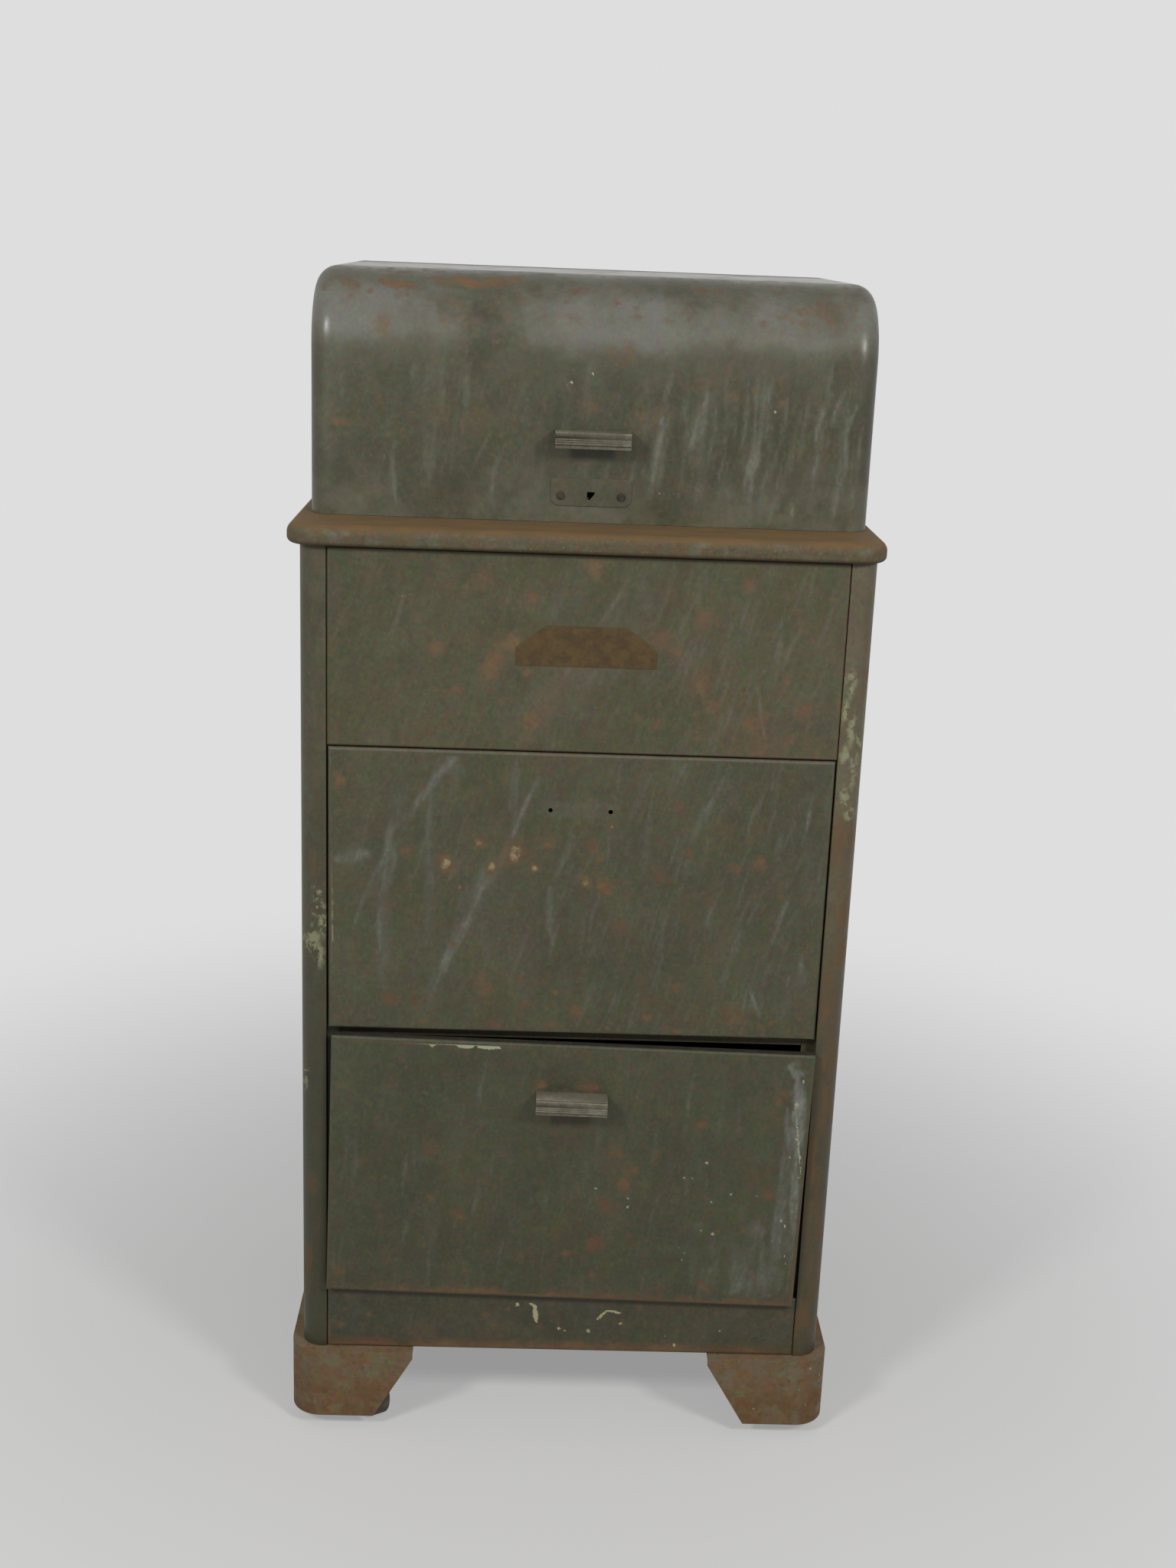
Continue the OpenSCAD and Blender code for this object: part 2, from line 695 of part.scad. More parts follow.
// Pins through all five knuckles
module hinge_pins() color(STEEL) at_hinges() {
    head = 1.2;
    translate([-head, 0, 0]) rotate([0, 90, 0]) cylinder(r = pin_r, h = hinge_w + 2 * head);
    for (x = [-head - 0.4, hinge_w + 0.4]) translate([x, 0, 0]) rotate([0, 90, 0])
        cylinder(r = pin_r + 0.8, h = head);
}

module hinge_deck_screws() color(STEEL) at_hinges() hinge_screw_places()
    translate([0, deck_screw_y, -knuckle_r]) {
        translate([0, 0, leaf_t]) cylinder(r = screw_head_r, h = screw_head_h);
        cylinder(r = screw_r, h = leaf_t);
    }

module hinge_hood_screws() color(STEEL) at_hinges() hinge_screw_places()
    translate([0, -knuckle_r, leaf_h * 0.7]) rotate([-90, 0, 0]) {
        translate([0, 0, leaf_t]) cylinder(r = screw_head_r, h = screw_head_h);
        cylinder(r = screw_r, h = leaf_t);
    }

// ---------------------------------------------------------------- pulls

// Section of a pull in y (outwards) and z: web on top, front bar with a lip set back under
// it, flange at the face, a bead along the top edge and reeds along the bar's foot
module pull_section() {
    web = 3.5;
    bar = 5;
    lip_set = 2;
    flange = 2;
    reed_r = 0.7;
    reed_pitch = 1.9;
    bead_w = 3;
    difference() {
        union() {
            translate([0, pull_h - web]) square([pull_out - cut, web]);
            translate([pull_out - bar, pull_lip_h]) difference() {
                square([bar, pull_h - pull_lip_h]);
                translate([bar, pull_h - pull_lip_h]) rotate(180) corner_cut(1.2);
                translate([bar, 0]) mirror([1, 0]) corner_cut(0.8);
            }
            translate([pull_out - bar, 0]) square([bar - lip_set, pull_lip_h + cut]);
            square([flange, pull_h - cut]);
        }
        for (i = [1:3]) translate([pull_out + 0.2, pull_lip_h + i * reed_pitch]) circle(r = reed_r);
        translate([pull_out - bead_w, pull_h + 0.2]) circle(r = reed_r);
    }
}

// Pull with its fixing face at y = 0 and its screws at z = 0
module pull() {
    boss_r = 5;
    boss_d = 13;
    z0 = -(pull_h - boss_r - 0.8);
    difference() {
        union() {
            translate([-pull_w / 2, 0, z0]) mirror([0, 1, 0]) rotate([90, 0, 90])
                linear_extrude(pull_w) pull_section();
            for (s = [-1, 1]) translate([s * pull_pitch / 2, 0, 0]) rotate([90, 0, 0])
                cylinder(r = boss_r, h = boss_d);
        }
        for (s = [-1, 1]) translate([s * pull_pitch / 2, cut, 0]) rotate([90, 0, 0])
            cylinder(r = screw_hole_r, h = boss_d - 2 + cut);
    }
}

// Screws from the inside of a face of thickness t into the pull's bosses
module pull_screws(t) for (s = [-1, 1]) translate([s * pull_pitch / 2, 0, 0]) {
    translate([0, t, 0]) rotate([-90, 0, 0]) cylinder(r = 3.8, h = 2.2);
    translate([0, t, 0]) rotate([90, 0, 0]) cylinder(r = screw_r, h = 8 + t);
}

module at_hood_pull() in_body() translate([0, hood_y, hood_z + hood_pull_z]) children();

module hood_pull() color(STEEL) at_hood_pull() pull();

module hood_pull_screws() color(STEEL) at_hood_pull() pull_screws(hood_t);

// ---------------------------------------------------------------- drawers

// Puts the lower drawer in its sagged place: rolled, dropped and standing out
module sagged() {
    middle = lower_z + lower_h / 2;
    translate([0, 0, middle - sag_drop]) rotate([0, sag_roll, 0]) translate([0, 0, -middle]) children();
}

module drawer_front(z, w, h) in_body() translate([0, 0, z]) difference() {
    front_pan(w, h, pan_depth);
    pull_holes(h - pull_drop);
}

// Bottom and two sides folded from one sheet, with front flanges welded to the pan
module drawer_tray(z) {
    flange = 9;
    in_body() translate([0, sheet, z + tray_lift]) difference() {
        union() {
            translate([-tray_x, 0, 0]) cube([2 * tray_x, tray_d, tray_h]);
            translate([-tray_x - flange, 0, 0]) cube([2 * (tray_x + flange), sheet, tray_h]);
        }
        translate([-tray_x + sheet, -cut, sheet])
            cube([2 * (tray_x - sheet), tray_d + 2 * cut, tray_h]);
    }
}

// Back of a tray with its top edge folded over
module drawer_back(z) in_body()
    translate([0, sheet + tray_d, z + tray_lift + sheet]) difference() {
        translate([-tray_x + sheet, -12, 0]) cube([2 * (tray_x - sheet), 12, tray_h - sheet]);
        translate([-tray_x, -12 - cut, -cut]) cube([2 * tray_x, 12 + cut - sheet, tray_h - 2 * sheet + cut]);
    }

// Pair of angles on the tray's sides that ride in the tracks
module drawer_runners(z) {
    leg = 9;
    y0 = lip_back + rail_t + 2;
    in_body() for (s = [-1, 1]) scale([s, 1, 1]) translate([tray_x, y0, z + tray_lift + runner_lift]) {
        cube([rail_t, runner_end - y0, leg]);
        cube([runner_x - tray_x, runner_end - y0, rail_t]);
        translate([runner_x - tray_x - stop_w, runner_end - y0 - stop_t, 0]) cube([stop_w, stop_t, leg]);
    }
}

module lowered() translate([0, -sag_out, 0]) sagged() children();

module middle_drawer_front() color(ENAMEL) drawer_front(middle_z, middle_w, middle_h);
module middle_drawer_tray() color(ENAMEL) drawer_tray(middle_z);
module middle_drawer_back() color(ENAMEL) drawer_back(middle_z);
module middle_drawer_runners() color(STEEL) drawer_runners(middle_z);
module lower_drawer_front() color(ENAMEL) lowered() drawer_front(lower_z, lower_w, lower_h);
module lower_drawer_tray() color(ENAMEL) lowered() drawer_tray(lower_z);
module lower_drawer_back() color(ENAMEL) lowered() drawer_back(lower_z);
module lower_drawer_runners() color(STEEL) lowered() drawer_runners(lower_z);

module at_lower_pull() lowered() in_body() translate([0, 0, lower_z + lower_h - pull_drop]) children();

module lower_pull() color(STEEL) at_lower_pull() pull();

module lower_pull_screws() color(STEEL) at_lower_pull() pull_screws(sheet);

// ---------------------------------------------------------------- feet

// Outline of a foot's wall seen square on, its outer corner at x = 0
module foot_face() polygon([
    [-cut, foot_z], [foot_toe, foot_z], [foot_len, foot_top - foot_heel], [foot_len, foot_top + cut],
    [-cut, foot_top + cut]
]);

// Plan of a foot: outer corner at the origin, walls along +x and +y
module foot_plan(inset) difference() {
    translate([inset, inset]) square(foot_len - inset);
    translate([inset, inset]) corner_cut(post_r + foot_ledge - inset);
}

// Pressed corner bracket with a top plate and two walls that taper towards the floor
module foot() {
    h = foot_top - foot_z;
    difference() {
        translate([0, 0, foot_z]) linear_extrude(h) foot_plan(0);
        translate([0, 0, foot_z - cut]) linear_extrude(h - foot_t + cut) union() {
            foot_plan(foot_t);
            translate([foot_t + post_r, foot_t]) square(foot_len);
            translate([foot_t, foot_t + post_r]) square(foot_len);
        }
        foot_trim();
        mirror([1, -1, 0]) foot_trim();
        translate([caster_side, caster_end, foot_top - foot_t]) caster_bolt_places() bolt_hole(foot_t);
    }
}

// Cuts the wall along x back to the foot's tapered outline
module foot_trim() difference() {
    translate([foot_toe - cut, -cut, foot_z - cut])
        cube([foot_len, foot_t + 2 * cut, foot_top - foot_z - foot_t + cut]);
    translate([0, -2 * cut, 0]) upright(foot_t + 4 * cut) foot_face();
}

module at_foot(left, front) {
    x = body_w / 2 + foot_ledge;
    in_body() translate([left ? -x : x, front ? -foot_ledge : body_d + foot_ledge, 0])
        scale([left ? 1 : -1, front ? 1 : -1, 1]) children();
}

module foot_front_left() color(RUSTY) at_foot(true, true) foot();
module foot_front_right() color(RUSTY) at_foot(false, true) foot();
module foot_rear_left() color(RUSTY) at_foot(true, false) foot();
module foot_rear_right() color(RUSTY) at_foot(false, false) foot();

// ---------------------------------------------------------------- casters

module at_caster(left, front, angle) in_body()
    translate([left ? -caster_x : caster_x, front ? caster_front : caster_rear, 0]) rotate(angle) children();

module at_casters() for (left = [true, false]) for (front = [true, false])
    at_caster(left, front, 0) children();

module caster_bolt_places() for (x = [-1, 1]) for (y = [-1, 1])
    translate([x * (caster_plate / 2 - 6.5), y * (caster_plate / 2 - 6.5), 0]) children();

// Fixed plates with the upper race of the swivel
module caster_plates() color(STEEL) at_casters() difference() {
    union() {
        translate([-caster_plate / 2, -caster_plate / 2, plate_z])
            cube([caster_plate, caster_plate, foot_t]);
        translate([0, 0, race_z]) cylinder(r = crown_r - 2, h = plate_z - race_z);
    }
    translate([0, 0, race_z - cut]) cylinder(r = king_r + 0.02, h = foot_t + plate_z - race_z + 2 * cut);
    translate([0, 0, plate_z]) caster_bolt_places() bolt_hole(foot_t);
}

module kingpins() color(STEEL) at_casters() {
    pin_z = crown_z - clear;
    translate([0, 0, pin_z]) cylinder(r = king_r, h = plate_z + foot_t - pin_z);
    translate([0, 0, pin_z - king_head]) cylinder(r = king_r + 4, h = king_head);
}

// Hole for one caster bolt through a sheet of thickness t
module bolt_hole(t) translate([0, 0, -cut]) cylinder(r = bolt_r + 0.1, h = t + 2 * cut);

// Bolts through the caster plate, the foot and the base pan, with their nuts inside
module caster_bolts() color(STEEL) at_casters() caster_bolt_places() {
    head_h = 3;
    translate([0, 0, plate_z - head_h]) cylinder(r = 1.7 * bolt_r, h = head_h, $fn = 6);
    translate([0, 0, plate_z]) cylinder(r = bolt_r, h = foot_top + sheet - plate_z);
    translate([0, 0, foot_top + sheet]) cylinder(r = 1.8 * bolt_r, h = head_h, $fn = 6);
}

// Swivelling fork: a crown round the kingpin and two legs down to the axle
module fork() {
    leg_r = 8;
    difference() {
        union() {
            translate([0, 0, crown_z]) cylinder(r = crown_r, h = crown_t);
            for (s = [0, 1]) mirror([0, s, 0]) translate([0, fork_x, 0]) upright(fork_t) {
                polygon([
                    [-11, crown_z + crown_t], [11, crown_z + crown_t], [trail + leg_r, wheel_r + 2],
                    [trail + leg_r, wheel_r], [trail - leg_r, wheel_r]
                ]);
                translate([trail, wheel_r]) circle(r = leg_r);
            }
        }
        translate([0, 0, crown_z - cut]) cylinder(r = king_r + pin_fit, h = crown_t + 2 * cut);
        translate([trail, -fork_x - fork_t - cut, wheel_r]) rotate([-90, 0, 0])
            cylinder(r = axle_r + pin_fit, h = 2 * (fork_x + fork_t + cut));
    }
}

module axle() {
    head = 2;
    half = fork_x + fork_t;
    translate([trail, 0, wheel_r]) rotate([90, 0, 0]) {
        translate([0, 0, -half]) cylinder(r = axle_r, h = 2 * half);
        for (s = [0, 1]) mirror([0, 0, s]) translate([0, 0, half]) cylinder(r = axle_r + 1.8, h = head);
    }
}

// Wheel with a rounded tread and a recessed web on each side
module wheel() {
    edge_r = 3;
    hub_r = 8;
    web_t = 8;
    rim_r = wheel_r - 7;
    translate([trail, 0, wheel_r]) rotate([90, 0, 0]) rotate_extrude($fn = 96) difference() {
        translate([axle_r + pin_fit, -wheel_w / 2]) square([wheel_r - axle_r - pin_fit, wheel_w]);
        for (s = [-1, 1]) scale([1, s]) {
            translate([wheel_r, -wheel_w / 2]) mirror([1, 0]) corner_cut(edge_r);
            translate([hub_r, web_t / 2]) square([rim_r - hub_r, wheel_w]);
        }
    }
}

module fork_front_left() color(STEEL) at_caster(true, true, swivel_fl) fork();
module fork_front_right() color(STEEL) at_caster(false, true, swivel_fr) fork();
module fork_rear_left() color(STEEL) at_caster(true, false, swivel_rl) fork();
module fork_rear_right() color(STEEL) at_caster(false, false, swivel_rr) fork();
module axle_front_left() color(STEEL) at_caster(true, true, swivel_fl) axle();
module axle_front_right() color(STEEL) at_caster(false, true, swivel_fr) axle();
module axle_rear_left() color(STEEL) at_caster(true, false, swivel_rl) axle();
module axle_rear_right() color(STEEL) at_caster(false, false, swivel_rr) axle();
module wheel_front_left() color(RUBBER) at_caster(true, true, swivel_fl) wheel();
module wheel_front_right() color(RUBBER) at_caster(false, true, swivel_fr) wheel();
module wheel_rear_left() color(RUBBER) at_caster(true, false, swivel_rl) wheel();
module wheel_rear_right() color(RUBBER) at_caster(false, false, swivel_rr) wheel();

// ---------------------------------------------------------------- nodes

left_side();
right_side();
back_panel();
base_pan();
kick_panel();
badge_panel();
badge_plate();
upper_rail();
divider_rail();
top_slab();
filing_well();
strike_plate();
hinge_deck_leaves();
hinge_pins();
hinge_deck_screws();
middle_tracks();
lower_tracks();
foot_front_left();
foot_front_right();
foot_rear_left();
foot_rear_right();
caster_plates();
kingpins();
caster_bolts();
hood_shell();
hood_back();
hood_pull();
hood_pull_screws();
lock_plate();
lock_rivets();
lock_case();
hinge_hood_leaves();
hinge_hood_screws();
lock_bolt();
middle_drawer_front();
middle_drawer_tray();
middle_drawer_back();
middle_drawer_runners();
lower_drawer_front();
lower_drawer_tray();
lower_drawer_back();
lower_drawer_runners();
lower_pull();
lower_pull_screws();
fork_front_left();
fork_front_right();
fork_rear_left();
fork_rear_right();
axle_front_left();
axle_front_right();
axle_rear_left();
axle_rear_right();
wheel_front_left();
wheel_front_right();
wheel_rear_left();
wheel_rear_right();
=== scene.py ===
"""Visual model of a streamlined steel filing cabinet: worn olive enamel over rusting sheet steel."""
import json
import math
from functools import partial

import bmesh
import bpy
import numpy as np
from bpy.props import FloatProperty, FloatVectorProperty, PointerProperty
from bpy.types import NodeSocket, Operator, Panel, PropertyGroup
from mathutils import Matrix, Vector
from mathutils.geometry import delaunay_2d_cdt

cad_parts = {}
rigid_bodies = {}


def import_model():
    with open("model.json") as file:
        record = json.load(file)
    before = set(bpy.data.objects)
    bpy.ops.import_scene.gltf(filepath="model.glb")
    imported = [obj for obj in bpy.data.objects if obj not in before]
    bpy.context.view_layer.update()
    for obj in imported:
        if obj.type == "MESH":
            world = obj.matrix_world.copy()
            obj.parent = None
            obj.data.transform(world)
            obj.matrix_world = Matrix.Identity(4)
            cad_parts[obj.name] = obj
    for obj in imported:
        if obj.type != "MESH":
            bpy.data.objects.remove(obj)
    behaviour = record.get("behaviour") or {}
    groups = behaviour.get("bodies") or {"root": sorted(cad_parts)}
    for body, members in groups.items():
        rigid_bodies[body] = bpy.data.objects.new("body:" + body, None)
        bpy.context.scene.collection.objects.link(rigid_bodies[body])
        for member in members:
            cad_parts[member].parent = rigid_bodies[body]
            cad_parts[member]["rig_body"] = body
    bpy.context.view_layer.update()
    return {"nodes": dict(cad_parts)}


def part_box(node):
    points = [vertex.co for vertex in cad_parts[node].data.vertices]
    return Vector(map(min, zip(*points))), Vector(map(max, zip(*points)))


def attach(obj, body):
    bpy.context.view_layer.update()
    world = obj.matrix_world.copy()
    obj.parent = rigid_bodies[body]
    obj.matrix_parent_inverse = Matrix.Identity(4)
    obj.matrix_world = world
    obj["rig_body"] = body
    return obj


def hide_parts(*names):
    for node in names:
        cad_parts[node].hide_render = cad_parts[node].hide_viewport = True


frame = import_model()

bl_info = {
    "name": "Filing cabinet finishes",
    "version": (1, 1, 0),
    "blender": (4, 5, 0),
    "location": "3D View > Sidebar > Cabinet",
    "description": "Builds the visible pieces of the filing cabinet round its construction model",
    "category": "Object",
}

MM = 0.001
NEAR = 1e-6  # metres; nearer than this two points are one
BASE_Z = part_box("kick_panel")[0].z
CORNERS = ("front_left", "front_right", "rear_left", "rear_right")
SOFT = {"interpolation_type": "SMOOTHSTEP"}  # a ramp that eases at both ends
PATTERN = {"vector_type": "TEXTURE"}  # a mapping that moves, turns and sizes the pattern

# The stage, in metres: the floor's half side, where it starts and ends to fade and the share it
# fades by at the start; the lamps' width, height, distance in front and aside, and the height they
# aim at; the camera's place, its turns about Z, X and Y in degrees and its lens in mm.
FLOOR_HALF, FADE_FROM, FADE_TO, FADE_LEAST = 14.0, 0.3, 1.5, 0.4
LAMP_WIDTH, LAMP_HIGH, LAMP_BEFORE, LAMP_ASIDE, LAMP_AIM = 0.55, 2.1, 2.0, 1.5, 0.9
CAMERA_AT, CAMERA_TURNS, LENS = (-0.0439, -1.9137, 1.2036), (-1.66, -16.225, -2.213), 43.57


# ---------------- colours and nodes

def linear(code):
    """The linear RGBA of an sRGB hex colour; the colour of a property is linear as it comes."""
    if not isinstance(code, str):
        return tuple(code)
    srgb = np.array([int(code[i:i + 2], 16) for i in (1, 3, 5)]) / 255
    rgb = np.where(srgb <= 0.04045, srgb / 12.92, ((srgb + 0.055) / 1.055) ** 2.4)
    return (*rgb.tolist(), 1.0)


def add(tree, kind, inputs, out=0, **settings):
    """Adds a shader node with its settings; sockets among its inputs are linked and values set.
    A Mix takes its share at 0, numbers at 2 and 3, and colours at 6 and 7, which come out at 2."""
    node = tree.nodes.new("ShaderNode" + kind)
    for key, value in settings.items():
        setattr(node, key, value)
    for key, value in inputs.items():
        if isinstance(value, NodeSocket):
            tree.links.new(value, node.inputs[key])
        else:
            node.inputs[key].default_value = value
    return node.outputs[out] if node.outputs else node


def merged(masks, operation):
    """Masks and numbers taken together one after another; the first is a mask."""
    result = masks[0]
    for mask in masks[1:]:
        result = add(result.id_data, "Math", {0: result, 1: mask}, operation=operation)
    return result


def times(*masks):
    """The product of masks and numbers."""
    return merged(masks, "MULTIPLY")


def either(*masks):
    """The largest of several masks."""
    return merged(masks, "MAXIMUM")


class Coat:
    """A finish in the making: colour, roughness and height that layers are laid over in turn.
    Its patterns are masks from 0 to 1, in metres on the piece or on other coordinates at."""

    def __init__(self, name, colour, rough):
        self.material = bpy.data.materials.new(name)
        self.material.use_nodes = True
        self.material.node_tree.nodes.clear()
        self.add = partial(add, self.material.node_tree)
        self.at = self.add("TexCoord", {}, out=3)
        self.colour, self.rough, self.height = linear(colour), rough, 0.0

    def ragged(self, size, amount):
        """Coordinates pushed up to amount aside by noise of that size, so edges on them wander."""
        reach = (2 * amount,) * 3
        push = self.add("TexNoise", {"Vector": self.at, "Scale": 1 / size, "Detail": 3.0}, out=1)
        centred = self.add("VectorMath", {0: push, 1: (0.5, 0.5, 0.5)}, operation="SUBTRACT")
        return self.add("VectorMath", {0: centred, 1: reach, 2: self.at}, operation="MULTIPLY_ADD")

    def patches(self, size, start, full, lean=0.0, detail=4.0, seed=0.0, low=0.0):
        """Blotches of that size, or of x, y and z sizes: fractal noise ramped from low to 1."""
        size = size if isinstance(size, tuple) else (size,) * 3
        by = (seed, 2 * seed, 3 * seed)
        place = self.add("Mapping", {0: self.at, 1: by, 2: (0, lean, 0), 3: size}, **PATTERN)
        level = self.add("TexNoise", {"Vector": place, "Scale": 1.0, "Detail": detail, "Roughness": 0.6})
        return self.add("MapRange", {0: level, 1: start, 2: full, 3: low}, **SOFT)

    def frayed(self, name, size, amount, start, full, seed=0.0):
        """A stain stored on the mesh, ramped from 0 at start to 1 at full, its edge frayed by noise."""
        stored = self.add("Attribute", {}, out=2, attribute_name=name)
        place = self.add("Mapping", {0: self.at, 1: (seed, 2 * seed, 3 * seed)}, **PATTERN)
        level = self.add("TexNoise", {"Vector": place, "Scale": 1 / size, "Detail": 5.0})
        level = self.add("Math", {0: level, 1: amount, 2: stored}, operation="MULTIPLY_ADD")
        return self.add("MapRange", {0: level, 1: start + amount / 2, 2: full + amount / 2}, **SOFT)

    def specks(self, pitch, radius, share, seed=0.0, at=None):
        """Small round spots: cells of that pitch, a share of which hold a spot of up to that radius."""
        place = self.add("Mapping", {0: at or self.at, 1: (seed, seed, seed)}, **PATTERN)
        cells = self.add("TexVoronoi", {"Vector": place, "Scale": 1 / pitch}, out=1)
        pick = self.add("SeparateColor", {0: cells})
        held = self.add("MapRange", {0: pick, 1: 1 - share, 2: 1.0, 3: 0.0, 4: radius / pitch})
        near = self.add("Math", {0: held, 1: cells.node.outputs["Distance"]}, operation="SUBTRACT")
        return self.add("MapRange", {0: near, 1: 0.0, 2: 0.2 * radius / pitch})

    def marks(self, rows, soft, front, at):
        """Spots on a post: 1 inside ellipses (x, z, width, height, in mm), fading over soft of their size."""
        deep = 50 * MM  # half a mark's depth, so that it reaches through the post's front
        shapes = [self.add("Mapping", {0: at, 1: (x * MM, front, BASE_Z + z * MM),
                                       3: (wide / 2 * MM, deep, high / 2 * MM)}, **PATTERN)
                  for x, z, wide, high in rows]
        away = [self.add("VectorMath", {0: shape}, out=1, operation="LENGTH") for shape in shapes]
        nearest = merged(away, "MINIMUM")
        return self.add("MapRange", {0: nearest, 1: 1 + soft, 2: 1 - soft}, **SOFT)

    def band(self, axis, start, full, at=None):
        """Ramp along an axis (0, 1 or 2) from 0 at start to 1 at full."""
        level = self.add("SeparateXYZ", {0: at or self.at}, out=axis)
        return self.add("MapRange", {0: level, 1: start, 2: full}, **SOFT)

    def lay(self, mask, colour=None, rough=None, height=None, strength=1.0):
        """Covers the coat where the mask is 1 with another colour, roughness and height."""
        if strength != 1.0:
            mask = times(mask, strength)
        if colour:
            self.colour = self.add("Mix", {0: mask, 6: self.colour, 7: linear(colour)}, out=2,
                                   data_type="RGBA")
        if rough is not None:
            self.rough = self.add("Mix", {0: mask, 2: self.rough, 3: rough})
        if height:
            self.height = self.add("Math", {0: mask, 1: height, 2: self.height},
                                   operation="MULTIPLY_ADD")

    def blotch(self, size, start, full, colour=None, rough=None, height=None, strength=1.0, **noise):
        """Lays a cover in blotches; noise goes to their pattern."""
        self.lay(self.patches(size, start, full, **noise), colour, rough, height, strength)

    def tint(self, size, share, seed=0.0):
        """Shifts the colour's hue and depth in blotches of that size, as uneven ageing does."""
        place = self.add("Mapping", {0: self.at, 1: (seed, seed, seed)}, **PATTERN)
        hues = self.add("TexNoise", {"Vector": place, "Scale": 1 / size, "Detail": 3.0}, out=1)
        self.colour = self.add("Mix", {0: share, 6: self.colour, 7: hues}, out=2,
                               data_type="RGBA", blend_type="OVERLAY")

    def shade(self, metallic=0.0):
        """Closes the coat with its shader and returns the material."""
        bump = self.add("Bump", {"Height": self.height, "Strength": 1.0, "Distance": 1.0})
        shader = self.add("BsdfPrincipled", {"Base Color": self.colour, "Roughness": self.rough,
                                             "Metallic": metallic, "Normal": bump})
        self.add("OutputMaterial", {0: shader})
        return self.material


# ---------------- finishes

def enamel(base, light, dark, seed, cloudy=0.6, rust=0.4, rough=0.48, wavy=True):
    """Olive enamel sprayed and stoved on sheet steel, then weathered: matt, clouded and streaked."""
    coat = Coat("olive enamel on " + base, dark, rough)
    coat.blotch((0.11, 0.11, 0.15), 0.36, 0.64, light, seed=seed)
    # mottling, and a film left by water that leans as the runs do
    coat.blotch((0.022, 0.022, 0.03), 0.46, 0.7, "#5f5e4b", rough + 0.06, strength=cloudy, detail=6.0,
                seed=seed + 1)
    coat.blotch((0.006, 0.006, 0.05), 0.45, 0.75, "#68695d", strength=0.35 * cloudy, lean=0.28,
                detail=3.0, seed=seed + 2)
    # pale dust and dark grime a few millimetres wide
    coat.blotch((0.0035, 0.0035, 0.004), 0.5, 0.75, "#6a6953", 0.6, strength=0.28, detail=3.0,
                seed=seed + 3)
    coat.blotch((0.005, 0.005, 0.007), 0.5, 0.75, "#383623", strength=0.35, seed=seed + 5)
    # warm stains and rust that blooms through
    coat.blotch((0.012, 0.012, 0.014), 0.48, 0.68, "#61503c", 0.6, strength=0.25 + 0.4 * rust,
                detail=7.0, seed=seed + 6)
    coat.blotch((0.035, 0.035, 0.04), 0.56, 0.74, "#664c36", 0.65, strength=rust, detail=8.0,
                seed=seed + 4)
    coat.tint(0.005, 0.35, seed + 7)
    coat.tint(0.05, 0.15, seed + 8)
    # sprayed grain, drawn coarser than its half millimetre so that it shows, and shallow waves
    coat.blotch(0.0016, 0.3, 0.7, height=0.000015, detail=2.0)
    if wavy:
        coat.blotch(0.14, 0.2, 0.8, height=0.0005, detail=1.0, seed=seed)
    return coat


def stained(coat, seed, haze="#6c6c63", rust="#664c38", chip="#b4b49c", core=0.8, crisp=0.4):
    """Lays the stains stored on the mesh over a coat: dried runs, rust blotches and bare chips."""
    streak = coat.patches((0.003, 0.003, 0.02), 0.3, 0.7, lean=0.28, detail=5.0, seed=seed, low=0.55)
    coat.lay(times(coat.frayed("haze", 0.006, 0.4, 0.0, 0.9, seed), streak), haze, 0.6)
    thick = times(coat.frayed("haze", 0.004, 0.8, 0.45, 1.1, seed + 5), streak)
    coat.lay(thick, "#8b8c80", 0.6, strength=core)
    coat.lay(coat.frayed("rust", 0.012, 0.8, 0.0, 0.9, seed + 3), "#5c4d39", 0.6, strength=0.65)
    bloom = coat.frayed("rust", 0.005, 1.4, 0.2, 1.1, seed + 1)
    coat.lay(bloom, rust, 0.7, strength=0.7)
    yellow = coat.patches(0.04, 0.44, 0.56, detail=2.0, seed=seed + 4)
    coat.lay(times(bloom, yellow), "#736141", 0.75, strength=0.7)
    coat.lay(coat.frayed("rust", 0.003, 1.4, 0.6, 1.3, seed + 2), "#7c5637", 0.8, strength=0.6)
    coat.tint(0.004, 0.3, seed + 9)
    coat.tint(0.02, 0.1, seed + 10)
    coat.lay(coat.frayed("chip", 0.002, 0.8, crisp, 1 - crisp, seed + 3), chip, 0.6)
    return coat.shade()


def rusty_enamel(name, under, over, seed, crust=0.9, rust="#846344"):
    """Enamel that rust has come through almost everywhere: brown, matt and crusted."""
    coat = Coat(name, under, 0.7)
    coat.blotch(0.03, 0.42, 0.64, rust, 0.85, 0.00005, crust, detail=8.0, seed=seed)
    # enamel that is left, dark scabs, flecks and pale specks
    coat.blotch((0.022, 0.022, 0.018), 0.5, 0.64, over, 0.5, 0.00006, 0.75, detail=8.0, seed=seed + 2)
    coat.blotch(0.006, 0.52, 0.72, "#4a3a29", 0.9, -0.00004, 0.5, detail=6.0, seed=seed + 3)
    coat.blotch(0.003, 0.54, 0.72, "#87735a", 0.85, strength=0.5, seed=seed + 4)
    pale = coat.specks(0.009, 0.0012, 0.22, seed, coat.ragged(0.003, 0.001))
    coat.lay(pale, "#a59c86", 0.8, strength=0.7)
    coat.tint(0.006, 0.4, seed)
    coat.blotch(0.0015, 0.3, 0.7, height=0.00005, detail=3.0)
    return coat


